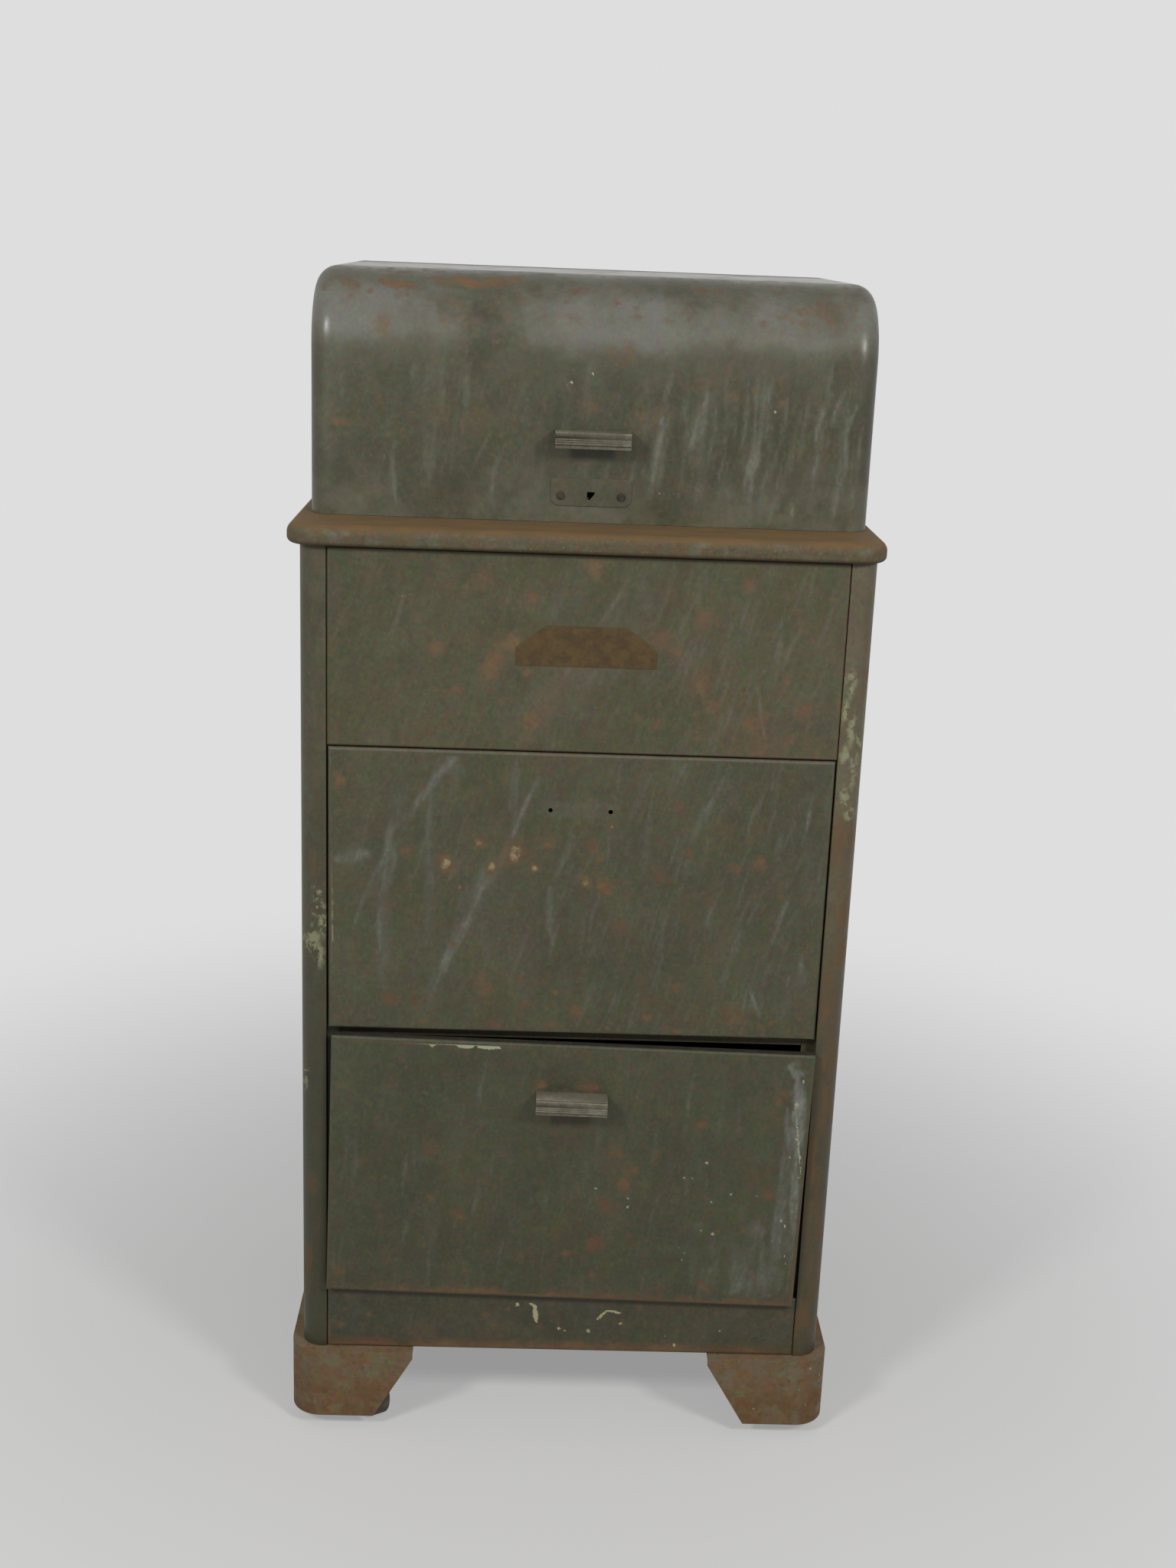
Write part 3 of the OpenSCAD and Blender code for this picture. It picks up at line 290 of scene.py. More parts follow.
def plain_steel(name, colour="#77756b", dull="#5c5448", rough=0.45, metallic=0.9, seed=0.0):
    """Bare or plated metal gone dull: mottled, with a little rust in its pits."""
    coat = Coat(name, colour, rough)
    coat.blotch(0.009, 0.38, 0.65, dull, rough + 0.15, detail=6.0, seed=seed)
    coat.lay(coat.specks(0.008, 0.0012, 0.25, seed), "#4d3620", 0.85, -0.00003, strength=0.7)
    coat.tint(0.003, 0.35, seed)
    coat.blotch(0.001, 0.3, 0.7, height=0.00001, detail=2.0)
    return coat.shade(metallic)


def wheel_rubber():
    """Hard moulded rubber, worn pale and dusty on its tread."""
    coat = Coat("hard rubber, moulded and worn", "#4b453d", 0.7)
    coat.blotch(0.012, 0.35, 0.65, "#7c7264", 0.9, strength=0.9, detail=6.0)
    coat.blotch(0.001, 0.3, 0.7, height=0.00004, detail=2.0)
    return coat.shade()


def floor_paint(colours):
    """Plain pale floor, matt: it keeps the cabinet's shadow and fades into the pale surroundings,
    and it throws less light back at the cabinet than its own colour would."""
    coat = Coat("pale floor, matt", colours.floor, 0.9)
    path = coat.add("LightPath", {})
    direct = either(path, path.node.outputs["Is Glossy Ray"])
    colour = coat.add("Mix", {0: direct, 6: linear("#7d7969"), 7: linear(colours.floor)}, out=2,
                     data_type="RGBA")
    paint_shader = coat.add("BsdfDiffuse", {0: colour})
    away = coat.add("VectorMath", {0: coat.at}, out=1, operation="LENGTH")
    far = coat.add("MapRange", {0: away, 1: FADE_FROM, 2: FADE_TO, 3: FADE_LEAST}, **SOFT)
    glow = coat.add("Emission", {"Color": linear(colours.surroundings), "Strength": 1.0})
    shader = coat.add("MixShader", {0: times(far, direct), 1: paint_shader, 2: glow})
    coat.add("OutputMaterial", {0: shader})
    return coat.material


# ---------------- stains painted on the mesh

def unit(field):
    """The field kept between 0 and 1."""
    return np.clip(field, 0, 1)


def rise(field, start, full):
    """0 where the field is at start, 1 where it is at full, straight between them."""
    return unit((field - start) / (full - start))


def most(*fields):
    """The largest of several fields at each point."""
    return np.maximum.reduce(fields)


def grain(u, v, size, seed, octaves=4):
    """Fractal noise from 0 to 1: lattices of random numbers smoothly interpolated, each octave half
    the size and half the weight of the one before."""
    total, weight = 0.0, 0.0
    for k in range(octaves):
        table = np.random.default_rng(seed + k).random((64, 64))
        x, y = u * 2 ** k / size, v * 2 ** k / size
        i, j = np.floor(x).astype(int), np.floor(y).astype(int)
        fx, fy = (f * f * (3 - 2 * f) for f in (x - i, y - j))
        near = table[i % 64, j % 64] * (1 - fx) + table[(i + 1) % 64, j % 64] * fx
        far = table[i % 64, (j + 1) % 64] * (1 - fx) + table[(i + 1) % 64, (j + 1) % 64] * fx
        total, weight = total + (near * (1 - fy) + far * fy) / 2 ** k, weight + 1 / 2 ** k
    return total / weight


def brushed(u, v, rows):
    """Strokes in mm, rows of x0, z0, x1, z1, width, weight: each covers weight * exp(-(2 d / width)^2)
    at distance d from its line, thinner towards both ends; 1 less the product of what they leave."""
    left = np.ones_like(u)
    for x0, z0, x1, z1, width, weight in rows:
        dx, dz = x1 - x0, z1 - z0
        square = dx * dx + dz * dz
        along = np.clip(((u - x0) * dx + (v - z0) * dz) / square, 0, 1) if square else 0.5
        away = np.hypot(u - x0 - along * dx, v - z0 - along * dz)
        wide = width * (0.45 + 0.55 * np.sin(np.pi * along))
        left *= 1 - min(weight, 0.98) * np.exp(-(2 * away / wide) ** 2)
    return 1 - left


def bundle(rows, seed, count):
    """Splits each stroke into thin ones side by side, each over a random part of its length."""
    dice = np.random.default_rng(seed)
    thin = []
    for x0, z0, x1, z1, width, weight in rows:
        run = np.array([x1 - x0, z1 - z0], float)
        normal = np.array([run[1], -run[0]]) / np.hypot(*run)
        for _ in range(count):
            first, last = np.sort(dice.uniform(-0.15, 1.15, 2))
            start = np.array([x0, z0]) + first * run + dice.normal(0, width / 3.5) * normal
            thin.append((*start, *(start + (last - first) * run), width * dice.uniform(0.2, 0.6),
                         weight * dice.uniform(0.3, 0.75)))
    return thin


def spots(rows, size, weight):
    """Stroke rows for round spots at x, z, their sizes spread from half to one and a half of size."""
    return [(x, z, x, z, size * (0.5 + (i * 0.618) % 1), weight * (0.7 + 0.3 * ((i * 0.414) % 1)))
            for i, (x, z) in enumerate(rows)]


def faint(seed, count, low, high, slope, length, width, weight):
    """Stroke rows spread at random over a front between two corners, leaning by slope."""
    dice = np.random.default_rng(seed)
    x, z = dice.uniform(low[0], high[0], count), dice.uniform(low[1], high[1], count)
    fall = length * dice.uniform(0.3, 1.0, count)
    lean = slope * fall * dice.uniform(0.4, 1.6, count)
    wide, much = width * dice.uniform(0.5, 1.2, count), weight * dice.uniform(0.3, 1.0, count)
    return np.stack([x, z, x - lean, z - fall, wide, much], 1).tolist()


# ---------------- meshes

def place(name, mesh, material):
    """A new object of that mesh in that finish, at the origin."""
    piece = bpy.data.objects.new(name, mesh)
    bpy.context.scene.collection.objects.link(piece)
    mesh.materials.clear()
    mesh.materials.append(material)
    return piece


def points_of(mesh):
    """The mesh's vertices as an array of x, y, z."""
    flat = np.empty(3 * len(mesh.vertices), dtype=np.float32)
    mesh.vertices.foreach_get("co", flat)
    return flat.reshape(-1, 3).astype(float)


def joined(node, beyond=None):
    """A copy of a node's mesh with its seams closed and its flat faces made whole. Long edges beyond
    an x on either side are then cut up, to carry stains."""
    mesh = frame["nodes"][node].data.copy()
    shape = bmesh.new()
    shape.from_mesh(mesh)
    bmesh.ops.remove_doubles(shape, verts=shape.verts, dist=NEAR)
    bmesh.ops.dissolve_limit(shape, angle_limit=math.radians(0.5), verts=shape.verts,
                             edges=shape.edges, delimit={"NORMAL"})
    if beyond:
        long = [edge for edge in shape.edges
                if edge.calc_length() > 50 * MM and min(abs(vertex.co.x) for vertex in edge.verts) > beyond]
        bmesh.ops.subdivide_edges(shape, edges=long, cuts=40, use_grid_fill=True)
    shape.to_mesh(mesh)
    shape.free()
    return mesh


def dense(mesh, on_face, unroll, roll_up, step):
    """Nets the outer face of a sheet piece finely: a square grid of that step on the face unrolled
    to a plane, joined to the face's old outline by a constrained Delaunay triangulation."""
    points = points_of(mesh)
    outer = on_face(points)
    faces = [tuple(face.vertices) for face in mesh.polygons]
    chosen = [bool(outer[list(face)].all()) for face in faces]
    sides = {side for face, picked in zip(faces, chosen) if picked
             for side in zip(face, face[1:] + face[:1])}
    outline = sorted(side for side in sides if side[::-1] not in sides)
    ring = sorted({side[0] for side in outline})
    number = {vertex: i for i, vertex in enumerate(ring)}
    rows = np.array([(number[a], number[b]) for a, b in outline])
    edge = unroll(points[ring])
    axes = [np.arange(low + step / 2, high, step) for low, high in zip(edge.min(0), edge.max(0))]
    net = np.stack(np.meshgrid(*axes), -1).reshape(-1, 2)
    clear = np.ones(len(net), bool)
    for a, b in zip(edge[rows[:, 0]], edge[rows[:, 1]]):
        along = np.clip((net - a) @ (b - a) / ((b - a) @ (b - a)), 0, 1)
        clear &= np.hypot(*(net - a - along[:, None] * (b - a)).T) > 0.4 * step
    net = net[clear]
    flat = [Vector(point) for point in np.vstack([edge, net]).tolist()]
    result = delaunay_2d_cdt(flat, rows.tolist(), [], 2, 1e-7)
    source = np.array([origin[0] for origin in result[3]])[np.array(result[2])]
    middles = np.vstack([edge, net])[source].mean(1)
    inside = np.zeros(len(middles), bool)
    for a, b in zip(edge[rows[:, 0]], edge[rows[:, 1]]):
        level = (a[1] > middles[:, 1]) != (b[1] > middles[:, 1])
        share = (middles[:, 1] - a[1]) / (b[1] - a[1] or 1)
        inside ^= level & (middles[:, 0] < a[0] + share * (b[0] - a[0]))
    table = np.concatenate([ring, len(points) + np.arange(len(net))])
    fresh = table[source[inside]].tolist()
    kept = [face for face, picked in zip(faces, chosen) if not picked] + fresh
    points = np.vstack([points, roll_up(net)])
    used = np.zeros(len(points), bool)
    used[np.concatenate([np.array(face) for face in kept])] = True
    index = np.cumsum(used) - 1
    finer_mesh = bpy.data.meshes.new(mesh.name + "_dense")
    finer_mesh.from_pydata(points[used].tolist(), [], [index[list(face)].tolist() for face in kept])
    return finer_mesh


def finer(node, material, mesh=None, width=0.3, sharp=35):
    """The finished form of a folded or pressed piece: its edges broken by width mm, curves smooth.
    It stands for its CAD node, which it hides, and rides on its body."""
    mesh = mesh or joined(node)
    mesh.shade_smooth()
    mesh.set_sharp_from_angle(angle=math.radians(sharp))
    piece = place("fine_" + node, mesh, material)
    bevel = piece.modifiers.new("broken edges", "BEVEL")
    bevel.width = width * MM
    bevel.segments = 2
    bevel.limit_method = "ANGLE"
    bevel.angle_limit = math.radians(sharp)
    bevel.harden_normals = True
    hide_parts(node)
    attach(piece, frame["nodes"][node]["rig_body"])


def stain(mesh, **fields):
    """Stores one number a vertex under each name, for the finish to read."""
    for name, values in fields.items():
        layer = mesh.attributes.new(name, "FLOAT", "POINT")
        layer.data.foreach_set("value", np.asarray(values, dtype=np.float32))


def paint(material, *nodes):
    """Gives CAD nodes that keep their shape a finish."""
    for node in nodes:
        piece = frame["nodes"][node]
        piece.data.materials.clear()
        piece.data.materials.append(material)


# ---------------- properties

def shade(name, code):
    """A colour property of that name, its default given as an sRGB hex value."""
    return FloatVectorProperty(name=name, description="Shade: " + name.lower(), size=4, subtype="COLOR",
                               min=0.0, max=1.0, default=linear(code))


def setting(name, description, default, **more):
    """A number of that name, its default in SI units."""
    return FloatProperty(name=name, description=description, default=default, **more)


class CabinetStage(PropertyGroup):
    """Light and floor round the cabinet."""
    key_power: setting("Key lamp", "Power of the left front lamp", 29.0, unit="POWER")
    fill_power: setting("Fill lamp", "Power of the right front lamp", 29.0, unit="POWER")
    sky: setting("Sky", "Strength of the pale surroundings", 0.27, min=0.0)
    floor: shade("Floor", "#e6e5e2")
    surroundings: shade("Surroundings", "#dededf")


class CabinetForm(PropertyGroup):
    """Sizes of the finished pieces."""
    net: setting("Net", "Spacing of the net on the large faces", 2 * MM, unit="LENGTH", min=1 * MM)
    sweep: setting("Sweep", "Radius of the hood from face to top", 70 * MM, unit="LENGTH")
    roll: setting("Roll", "Radius of the hood's rolled side edges", 20 * MM, unit="LENGTH")


class CabinetEnamel(PropertyGroup):
    """The enamel's two shades on the pieces that show most."""
    hood_light: shade("Hood, light", "#494833")
    hood_dark: shade("Hood, dark", "#3f3e28")
    middle_light: shade("Middle drawer, light", "#4f4e38")
    middle_dark: shade("Middle drawer, dark", "#46452f")
    # The lower drawer's shades, and the kick panel's, are darker than those above: partly the enamel's own
    # tone, partly painted shade of the light falling off towards the floor.
    lower_light: shade("Lower drawer, light", "#494a33")
    lower_dark: shade("Lower drawer, dark", "#40412c")
    panel_light: shade("Badge panel, light", "#504e35")
    panel_dark: shade("Badge panel, dark", "#47462d")
    slab: shade("Slab", "#574e38")


# ---------------- stains of the hood and the fronts
# Places are in mm from the cabinet's middle: on the hood across and up its face, sweep and top
# unrolled from its bottom edge, and on the fronts across and up from the kick panel's bottom.
# A run is x0, z0, x1, z1, width, weight, a spot is x, z, and a mark on a post x, z, width, height.

HOOD_RUNS = [
    (-164, 146, -166, 112, 7, 0.5), (-136, 158, -140, 99, 7, 0.6), (-114, 148, -118, 105, 7, 0.7),
    (-118, 110, -122, 60, 6, 0.4), (-168, 82, -184, 68, 5, 0.6), (-184, 70, -182, 8, 7, 0.9),
    (-190, 60, -198, 40, 5, 0.6), (-198, 40, -196, 12, 5, 0.5), (-98, 78, -116, 38, 5, 0.6),
    (-81, 74, -96, 25, 5, 0.6), (-88, 60, -100, 34, 4, 0.4), (72, 158, 63, 100, 7, 0.6),
    (63, 100, 56, 30, 7, 0.8), (104, 124, 84, 60, 8, 0.55), (84, 60, 80, 20, 6, 0.45),
    (124, 150, 118, 70, 6, 0.5), (150, 158, 147, 96, 6, 0.8), (147, 96, 143, 20, 5, 0.6),
    (168, 70, 160, 8, 8, 0.6), (198, 118, 190, 56, 5, 0.5), (216, 153, 208, 84, 6, 0.8),
    (226, 122, 219, 76, 4, 1.0), (210, 70, 204, 34, 6, 0.9), (240, 110, 235, 70, 4, 1.0),
    (232, 50, 228, 12, 5, 1.0), (252, 100, 246, 30, 5, 0.6), (40, 66, 33, 18, 7, 0.5),
    (28, 44, 24, 10, 6, 0.5), (120, 60, 116, 12, 6, 0.5), (172, 30, 165, 4, 8, 0.8),
    (186, 30, 184, 6, 6, 0.6), (22, 156, 20, 142, 4, 0.7), (-26, 128, -22, 120, 6, 0.8)]
HOOD_BLOTS = [
    (35, 123), (-6, 111), (29, 163), (103, 130), (121, 146), (170, 141), (129, 121), (175, 117),
    (-141, 96), (-227, 200), (-20, 186), (43, 100), (58, 104), (148, 128), (26, 150), (12, 158),
    (-196, 176), (-128, 196), (80, 196), (190, 192), (212, 172)]
HOOD_ORANGE = [
    (-202, 224, -168, 216, 16, 1.0), (-149, 230, -110, 222, 22, 1.1), (-112, 226, -71, 232, 18, 1.1),
    (-243, 87, -222, 84, 9, 0.8), (-236, 222, -222, 214, 14, 0.6), (-24, 222, -8, 216, 18, 0.6),
    (90, 226, 120, 222, 14, 0.45), (186, 204, 196, 196, 16, 0.4), (204, 214, 214, 188, 22, 0.6)]
HOOD_CHIPS = [
    (-31, 144), (-2, 137), (19, 146), (-22, 129), (168, 109), (64, 30)]
MIDDLE_RUNS = [
    (-118, 640, -183, 556, 8, 0.8), (-124, 636, -120, 612, 12, 0.7), (-183, 556, -212, 466, 5, 0.8),
    (-183, 560, -187, 400, 12, 0.75), (-178, 590, -184, 540, 6, 0.5), (-146, 596, -143, 446, 8, 0.6),
    (-38, 616, -68, 545, 6, 0.75), (-68, 545, -92, 505, 9, 0.9), (-92, 505, -134, 400, 6, 0.8),
    (-92, 520, -112, 466, 16, 0.7), (-112, 466, -140, 380, 12, 0.5), (-60, 630, -62, 581, 8, 0.6),
    (-58, 580, -64, 548, 5, 0.5), (-88, 470, -82, 430, 7, 0.6), (-114, 532, -128, 510, 5, 0.8),
    (-6, 560, -20, 514, 5, 0.6), (64, 581, 58, 520, 7, 0.6), (-24, 507, -21, 449, 7, 0.8),
    (-20, 520, 2, 566, 4, 0.5), (125, 597, 107, 561, 7, 0.6), (106, 560, 96, 500, 5, 0.5),
    (30, 580, 26, 540, 4, 0.7), (224, 608, 218, 570, 5, 0.7), (216, 453, 226, 399, 7, 0.6),
    (204, 500, 184, 440, 5, 0.6), (176, 404, 182, 379, 6, 0.8), (160, 470, 150, 420, 6, 0.5),
    (210, 420, 204, 370, 6, 0.6)]
MIDDLE_RUST = [
    (-73, 614), (7, 515), (-31, 552), (13, 551), (29, 571), (163, 559), (173, 537), (95, 591), (77, 523),
    (104, 547), (129, 497), (43, 469), (101, 407), (-20, 401), (-180, 389), (-80, 524), (-230, 607),
    (-145, 364), (-81, 366), (2, 381), (73, 374), (153, 380), (-164, 540), (20, 536), (25, 510),
    (150, 530), (195, 505), (-86, 400), (-54, 412), (-92, 412), (-48, 385), (-118, 446)]
MIDDLE_CHIPS = [
    (-114, 504), (-128, 525), (-42, 526), (-60, 545), (-96, 551), (30, 570), (-84, 526), (7, 513),
    (-62, 537), (-126, 530)]
LOWER_RUST = [
    (-133, 262), (-137, 234), (-135, 177), (-108, 159), (2, 120), (-44, 115), (26, 128), (88, 233),
    (58, 201), (53, 195), (41, 173), (34, 133), (132, 266), (209, 290), (202, 191), (139, 90), (-229, 94),
    (-180, 107), (-100, 96), (-30, 304), (20, 302), (48, 232), (60, 214), (70, 212), (38, 178), (46, 170),
    (140, 186), (210, 300), (28, 96), (98, 84), (146, 82), (64, 140)]
LOWER_CHIPS = [
    (128, 188), (117, 207), (125, 207), (139, 224), (146, 181), (177, 199), (165, 190), (62, 183),
    (62, 173), (29, 193), (63, 317), (149, 145), (137, 148), (207, 150)]
LOWER_RUNS = [
    (224, 332, 230, 268, 17, 0.98), (226, 312, 232, 234, 18, 0.98), (228, 300, 234, 238, 16, 0.95),
    (230, 250, 232, 150, 12, 0.8), (233, 200, 234, 90, 10, 0.7), (218, 262, 214, 120, 16, 0.55),
    (180, 84, 200, 154, 40, 0.6), (150, 150, 160, 80, 34, 0.45), (205, 130, 208, 80, 24, 0.6),
    (216, 336, 226, 320, 12, 0.9)]
KICK_CHIPS = [
    (-24, 33), (-2, 26), (4, 24), (28, 24), (61, 34), (108, 20), (118, 10), (164, 27), (-46, 53)]
PANEL_RUST = [
    (-122, 718), (-87, 729), (-53, 789), (5, 819), (-95, 805), (50, 677), (107, 774), (146, 806),
    (68, 753), (-50, 671), (-120, 700), (-92, 716), (-142, 738), (186, 716), (205, 690), (84, 738),
    (108, 712), (120, 690), (70, 672), (-70, 745), (190, 660), (160, 676)]
PANEL_RUNS = [
    (161, 709, 171, 662, 6, 0.8), (37, 809, 11, 766, 6, 0.5), (50, 790, -45, 665, 60, 0.4)]
LEFT_CHIPS = [
    (-251, 496, 10, 10), (-249, 480, 9, 18), (-244, 466, 7, 30), (-254, 446, 12, 26), (-261, 442, 9, 12),
    (-248, 432, 9, 26), (-262, 300, 4, 30)]
LEFT_RUST = [
    (-252, 526, 12, 24), (-258, 180, 10, 40), (-262, 90, 10, 60)]
RIGHT_CHIPS = [
    (250, 604, 9, 22), (256, 630, 8, 30), (247, 648, 8, 16), (252, 672, 7, 30), (260, 656, 5, 26),
    (244, 690, 8, 20), (248, 716, 9, 24), (257, 590, 10, 12)]
RIGHT_RUST = [
    (252, 560, 22, 60), (258, 470, 18, 120), (250, 400, 16, 90), (256, 300, 20, 130), (248, 210, 16, 110),
    (258, 120, 16, 110), (250, 40, 20, 70), (262, 730, 8, 60)]
SAG = 0.0175  # fall of the lower drawer's front to the right, mm per mm


def hood_stains(u, v):
    """Runs down the face, chalky paint with painted sheen along the sweep, a painted reflection over the top,
    dust along the rim, rust and chips.
    v is the face up to 154 mm, the sweep up to 264 mm and then the top."""
    wander = 9 * (grain(u, v, 45, 1) - 0.5)
    fray = 14 * (grain(u, v, 16, 23) - 0.5)
    rows = bundle(HOOD_RUNS, 2, 3) + faint(3, 70, (-230, 60), (250, 165), 0.12, 70, 5, 0.35)
    rows += faint(4, 60, (60, 30), (250, 150), 0.1, 60, 5, 0.45)
    rows += [(*row[:4], 0.8 * row[4], 0.5 * row[5]) for row in HOOD_RUNS]
    rows += [(x, 170, x - 8, 30, 34, 0.28) for x in (-238, -146, 2, 62, 108, 156, 214)]
    haze = brushed(u + wander, v, rows) * (0.3 + 1.1 * grain(u, v / 3, 10, 5))
    edge = 152 + 30 * (grain(u, v, 50, 7, 6) - 0.5)
    cloud = unit(2.4 * grain(u, v / 1.5, 55, 9, 6) - 0.45)
    # Chalky paint on the sweep, with painted sheen where the sweep faces up to the light.
    chalk_and_sheen = rise(v, edge, edge + 24) * cloud * (1 - 0.75 * rise(v, 200, 230))
    # Painted reflection of the pale surroundings on the flat top, seen at a grazing angle.
    glare = rise(v, 252, 286) * rise(v, 500, 440) * unit(1.6 * grain(u, v, 60, 27, 6))
    crest = 60 + 90 * (grain(u, v, 70, 21, 6) - 0.5)
    rim = rise(v, crest, crest - 60) * (0.2 + grain(u, v, 12, 28))
    belt = rise(np.abs(v - 175), 75, 0) * unit(2 * cloud) * 0.7
    rust = most(
        brushed(u + wander, v + fray, bundle(HOOD_ORANGE, 24, 6) + HOOD_ORANGE),
        brushed(u + fray, v - fray, spots(HOOD_BLOTS, 17, 0.7)),
        brushed(u, v + fray, faint(6, 110, (-255, 195), (255, 262), 0.3, 8, 11, 0.6)),
        brushed(u, v + fray, faint(7, 60, (-255, 262), (255, 490), 0.3, 20, 30, 0.5)),
        brushed(u, v, faint(8, 80, (-250, 10), (250, 200), 0.3, 3, 8, 0.5)),
        brushed(u + fray, v, faint(10, 60, (-250, 165), (250, 262), 0.3, 6, 13, 0.65)),
        0.9 * rise(v, 488, 508)) * (0.3 + 1.2 * grain(u, v, 7, 25))
    chip = brushed(u, v, spots(HOOD_CHIPS, 4, 0.9) + [(-129, 185, -128, 154, 2, 0.5)])
    ghost = rise(np.maximum(np.abs(u - 178) - 40, np.abs(v - 52) - 8), 6, 2)
    # pale holds the sweep's chalk and painted sheen and the top's painted reflection.
    return {"haze": haze, "rust": rust, "chip": chip, "pale": most(chalk_and_sheen, glare),
            "skirt": most(rim, belt), "ghost": ghost}


def rims(u, v, low, high, width, seed, tilt=0.0):
    """Patchy rust along a front's outline, fading over width mm; tilt is the front's fall to the right."""
    inside = np.minimum.reduce([u - low[0] - tilt * (v - low[1]), high[0] - u - tilt * (high[1] - v),
                                v - low[1] - tilt * (high[0] - u), high[1] - v - tilt * (u - low[0])])
    return rise(inside, 1.1 * width, 0.1 * width) * unit(3 * (grain(u, v, 40, seed) - 0.35))


def middle_stains(u, v, low, high):
    """Slanted dried runs, a pale smear towards the lower left, a painted highlight along the top edge, soft
    rust spots and a few chips.
    """
    wander = 12 * (grain(u, v, 60, 11) - 0.5)
    fray = 8 * (grain(u, v, 12, 19) - 0.5)
    rows = bundle(MIDDLE_RUNS, 17, 3) + faint(12, 150, low, high, 0.3, 70, 4, 0.4)
    rows += faint(18, 130, (10, low[1]), high, 0.25, 60, 4, 0.5) + [(-232, 530, -206, 536, 20, 0.8)]
    rows += [(*row[:4], 1.5 * row[4], 0.6 * row[5]) for row in MIDDLE_RUNS]
    haze = brushed(u + wander, v, rows) * (0.3 + 1.1 * grain(u, v / 3, 9, 13))
    dots = spots(MIDDLE_RUST, 14, 0.98) + faint(14, 170, low, high, 0.2, 4, 9, 0.6)
    foot = faint(15, 26, (low[0], low[1] + 4), (high[0], low[1] + 24), 0.2, 4, 15, 1.0)
    rust = most(brushed(u + fray, v - fray, dots), brushed(u, v, foot),
                0.7 * rims(u, v, low, high, 3, 16)) * (0.6 + 0.7 * grain(u, v, 6, 22))
    fringe = brushed(u + fray, v - fray, spots(MIDDLE_CHIPS, 17, 0.9))
    ghost = rise(np.maximum(np.abs(u) - 34, np.abs(v - 585) - 8), 4, -2)
    chip = brushed(u + 0.7 * fray, v + 0.7 * fray, spots(MIDDLE_CHIPS, 7.5, 0.9))
    chip = chip * np.clip(2 * grain(u, v, 5, 21), 0.2, 1.1)
    edge = brushed(u, v + fray, faint(20, 50, (-241, 440), (-234, 500), 0.1, 8, 4, 0.98))
    # The top 3 mm go pale with the haze: a painted highlight on the rounded top edge.
    return {"haze": most(haze, 0.8 * rise(high[1] - v, 3, 0.5), 0.3 * ghost),
            "rust": most(rust, fringe), "chip": most(chip, edge)}


def lower_stains(u, v, low, high):
    """A pale smear down the right side, speckled chips, rust spots and rusty top and bottom edges."""
    wander = 10 * (grain(u, v, 60, 31) - 0.5)
    fray = 8 * (grain(u, v, 12, 38) - 0.5)
    above, under = v - low[1] - SAG * (high[0] - u), high[1] - v - SAG * (u - low[0])
    rows = bundle(LOWER_RUNS, 37, 9) + faint(32, 110, low, high, 0.1, 60, 5, 0.4)
    haze = brushed(u + wander, v, rows) * (0.5 + 0.7 * grain(u, v / 2, 9, 33))
    dots = spots(LOWER_RUST, 13, 0.98) + faint(34, 190, low, high, 0.2, 4, 9, 0.65)
    by_pull = [(-38, 306, -22, 305, 9, 0.8), (6, 303, 30, 303, 10, 0.95)]
    rust = most(brushed(u + fray, v - fray, dots), brushed(u + fray, v + fray, by_pull),
                1.1 * rims(u, v, low, high, 5, 36, SAG)) * (0.6 + 0.7 * grain(u, v, 6, 39))
    foot = unit(1.3 - above / (4 + 14 * grain(u, v, 22, 49))) * unit(4 * (grain(u, v, 45, 40) - 0.32))
    lip = unit(1.3 - under / 6) * np.clip(4 * (grain(u, v, 26, 51) - 0.36), 0, 0.8)
    brim = [(x, high[1] - SAG * (x - low[0]) - 5, x + wide, high[1] - SAG * (x + wide - low[0]) - 5, 6, 0.95)
            for x, wide in ((-139, 5), (-112, 16), (-92, 22))]
    dots = spots(LOWER_CHIPS, 3.6, 0.95) + faint(50, 50, (216, 110), (238, 320), 0.0, 4, 2.2, 0.95)
    dots += faint(35, 60, (100, 75), (235, 240), 0.0, 1, 1.8, 0.9)
    chip = brushed(u, v, dots + brim + [(222, 300, 236, 200, 5, 0.55)])
    return {"haze": haze, "rust": most(rust, foot, lip), "chip": chip}


def panel_stains(u, v, low, high):
    """Broad pinkish-brown blooms, denser to the right and the bottom, and one white scratch."""
    wander = 10 * (grain(u, v, 60, 41) - 0.5)
    rows = bundle(PANEL_RUNS, 47, 3) + PANEL_RUNS + faint(42, 110, low, high, 0.3, 70, 5, 0.4)
    rows += faint(48, 70, (90, low[1]), high, 0.25, 60, 5, 0.5)
    haze = brushed(u + wander, v, rows) * (0.5 + 0.7 * grain(u, v / 3, 9, 43))
    dots = spots(PANEL_RUST, 19, 0.95) + faint(44, 60, low, high, 0.2, 6, 16, 0.6)
    smears = [(-4, 732, -58, 652, 36, 0.45), (-88, 736, -92, 708, 16, 0.6)]
    broad = unit(2.4 * (grain(u, v, 70, 45) - 0.42))
    lean = 0.6 * rise(u, -150, 150) + 0.4 * rise(v, low[1] + 60, low[1])
    rust = most(brushed(u + wander, v, dots), 0.75 * broad * lean, brushed(u + wander, v, smears),
                0.8 * rims(u, v, low, high, 3, 46))
    return {"haze": haze, "rust": rust, "chip": brushed(u, v, [(-173, 786, -159, 787, 2.2, 0.9)])}


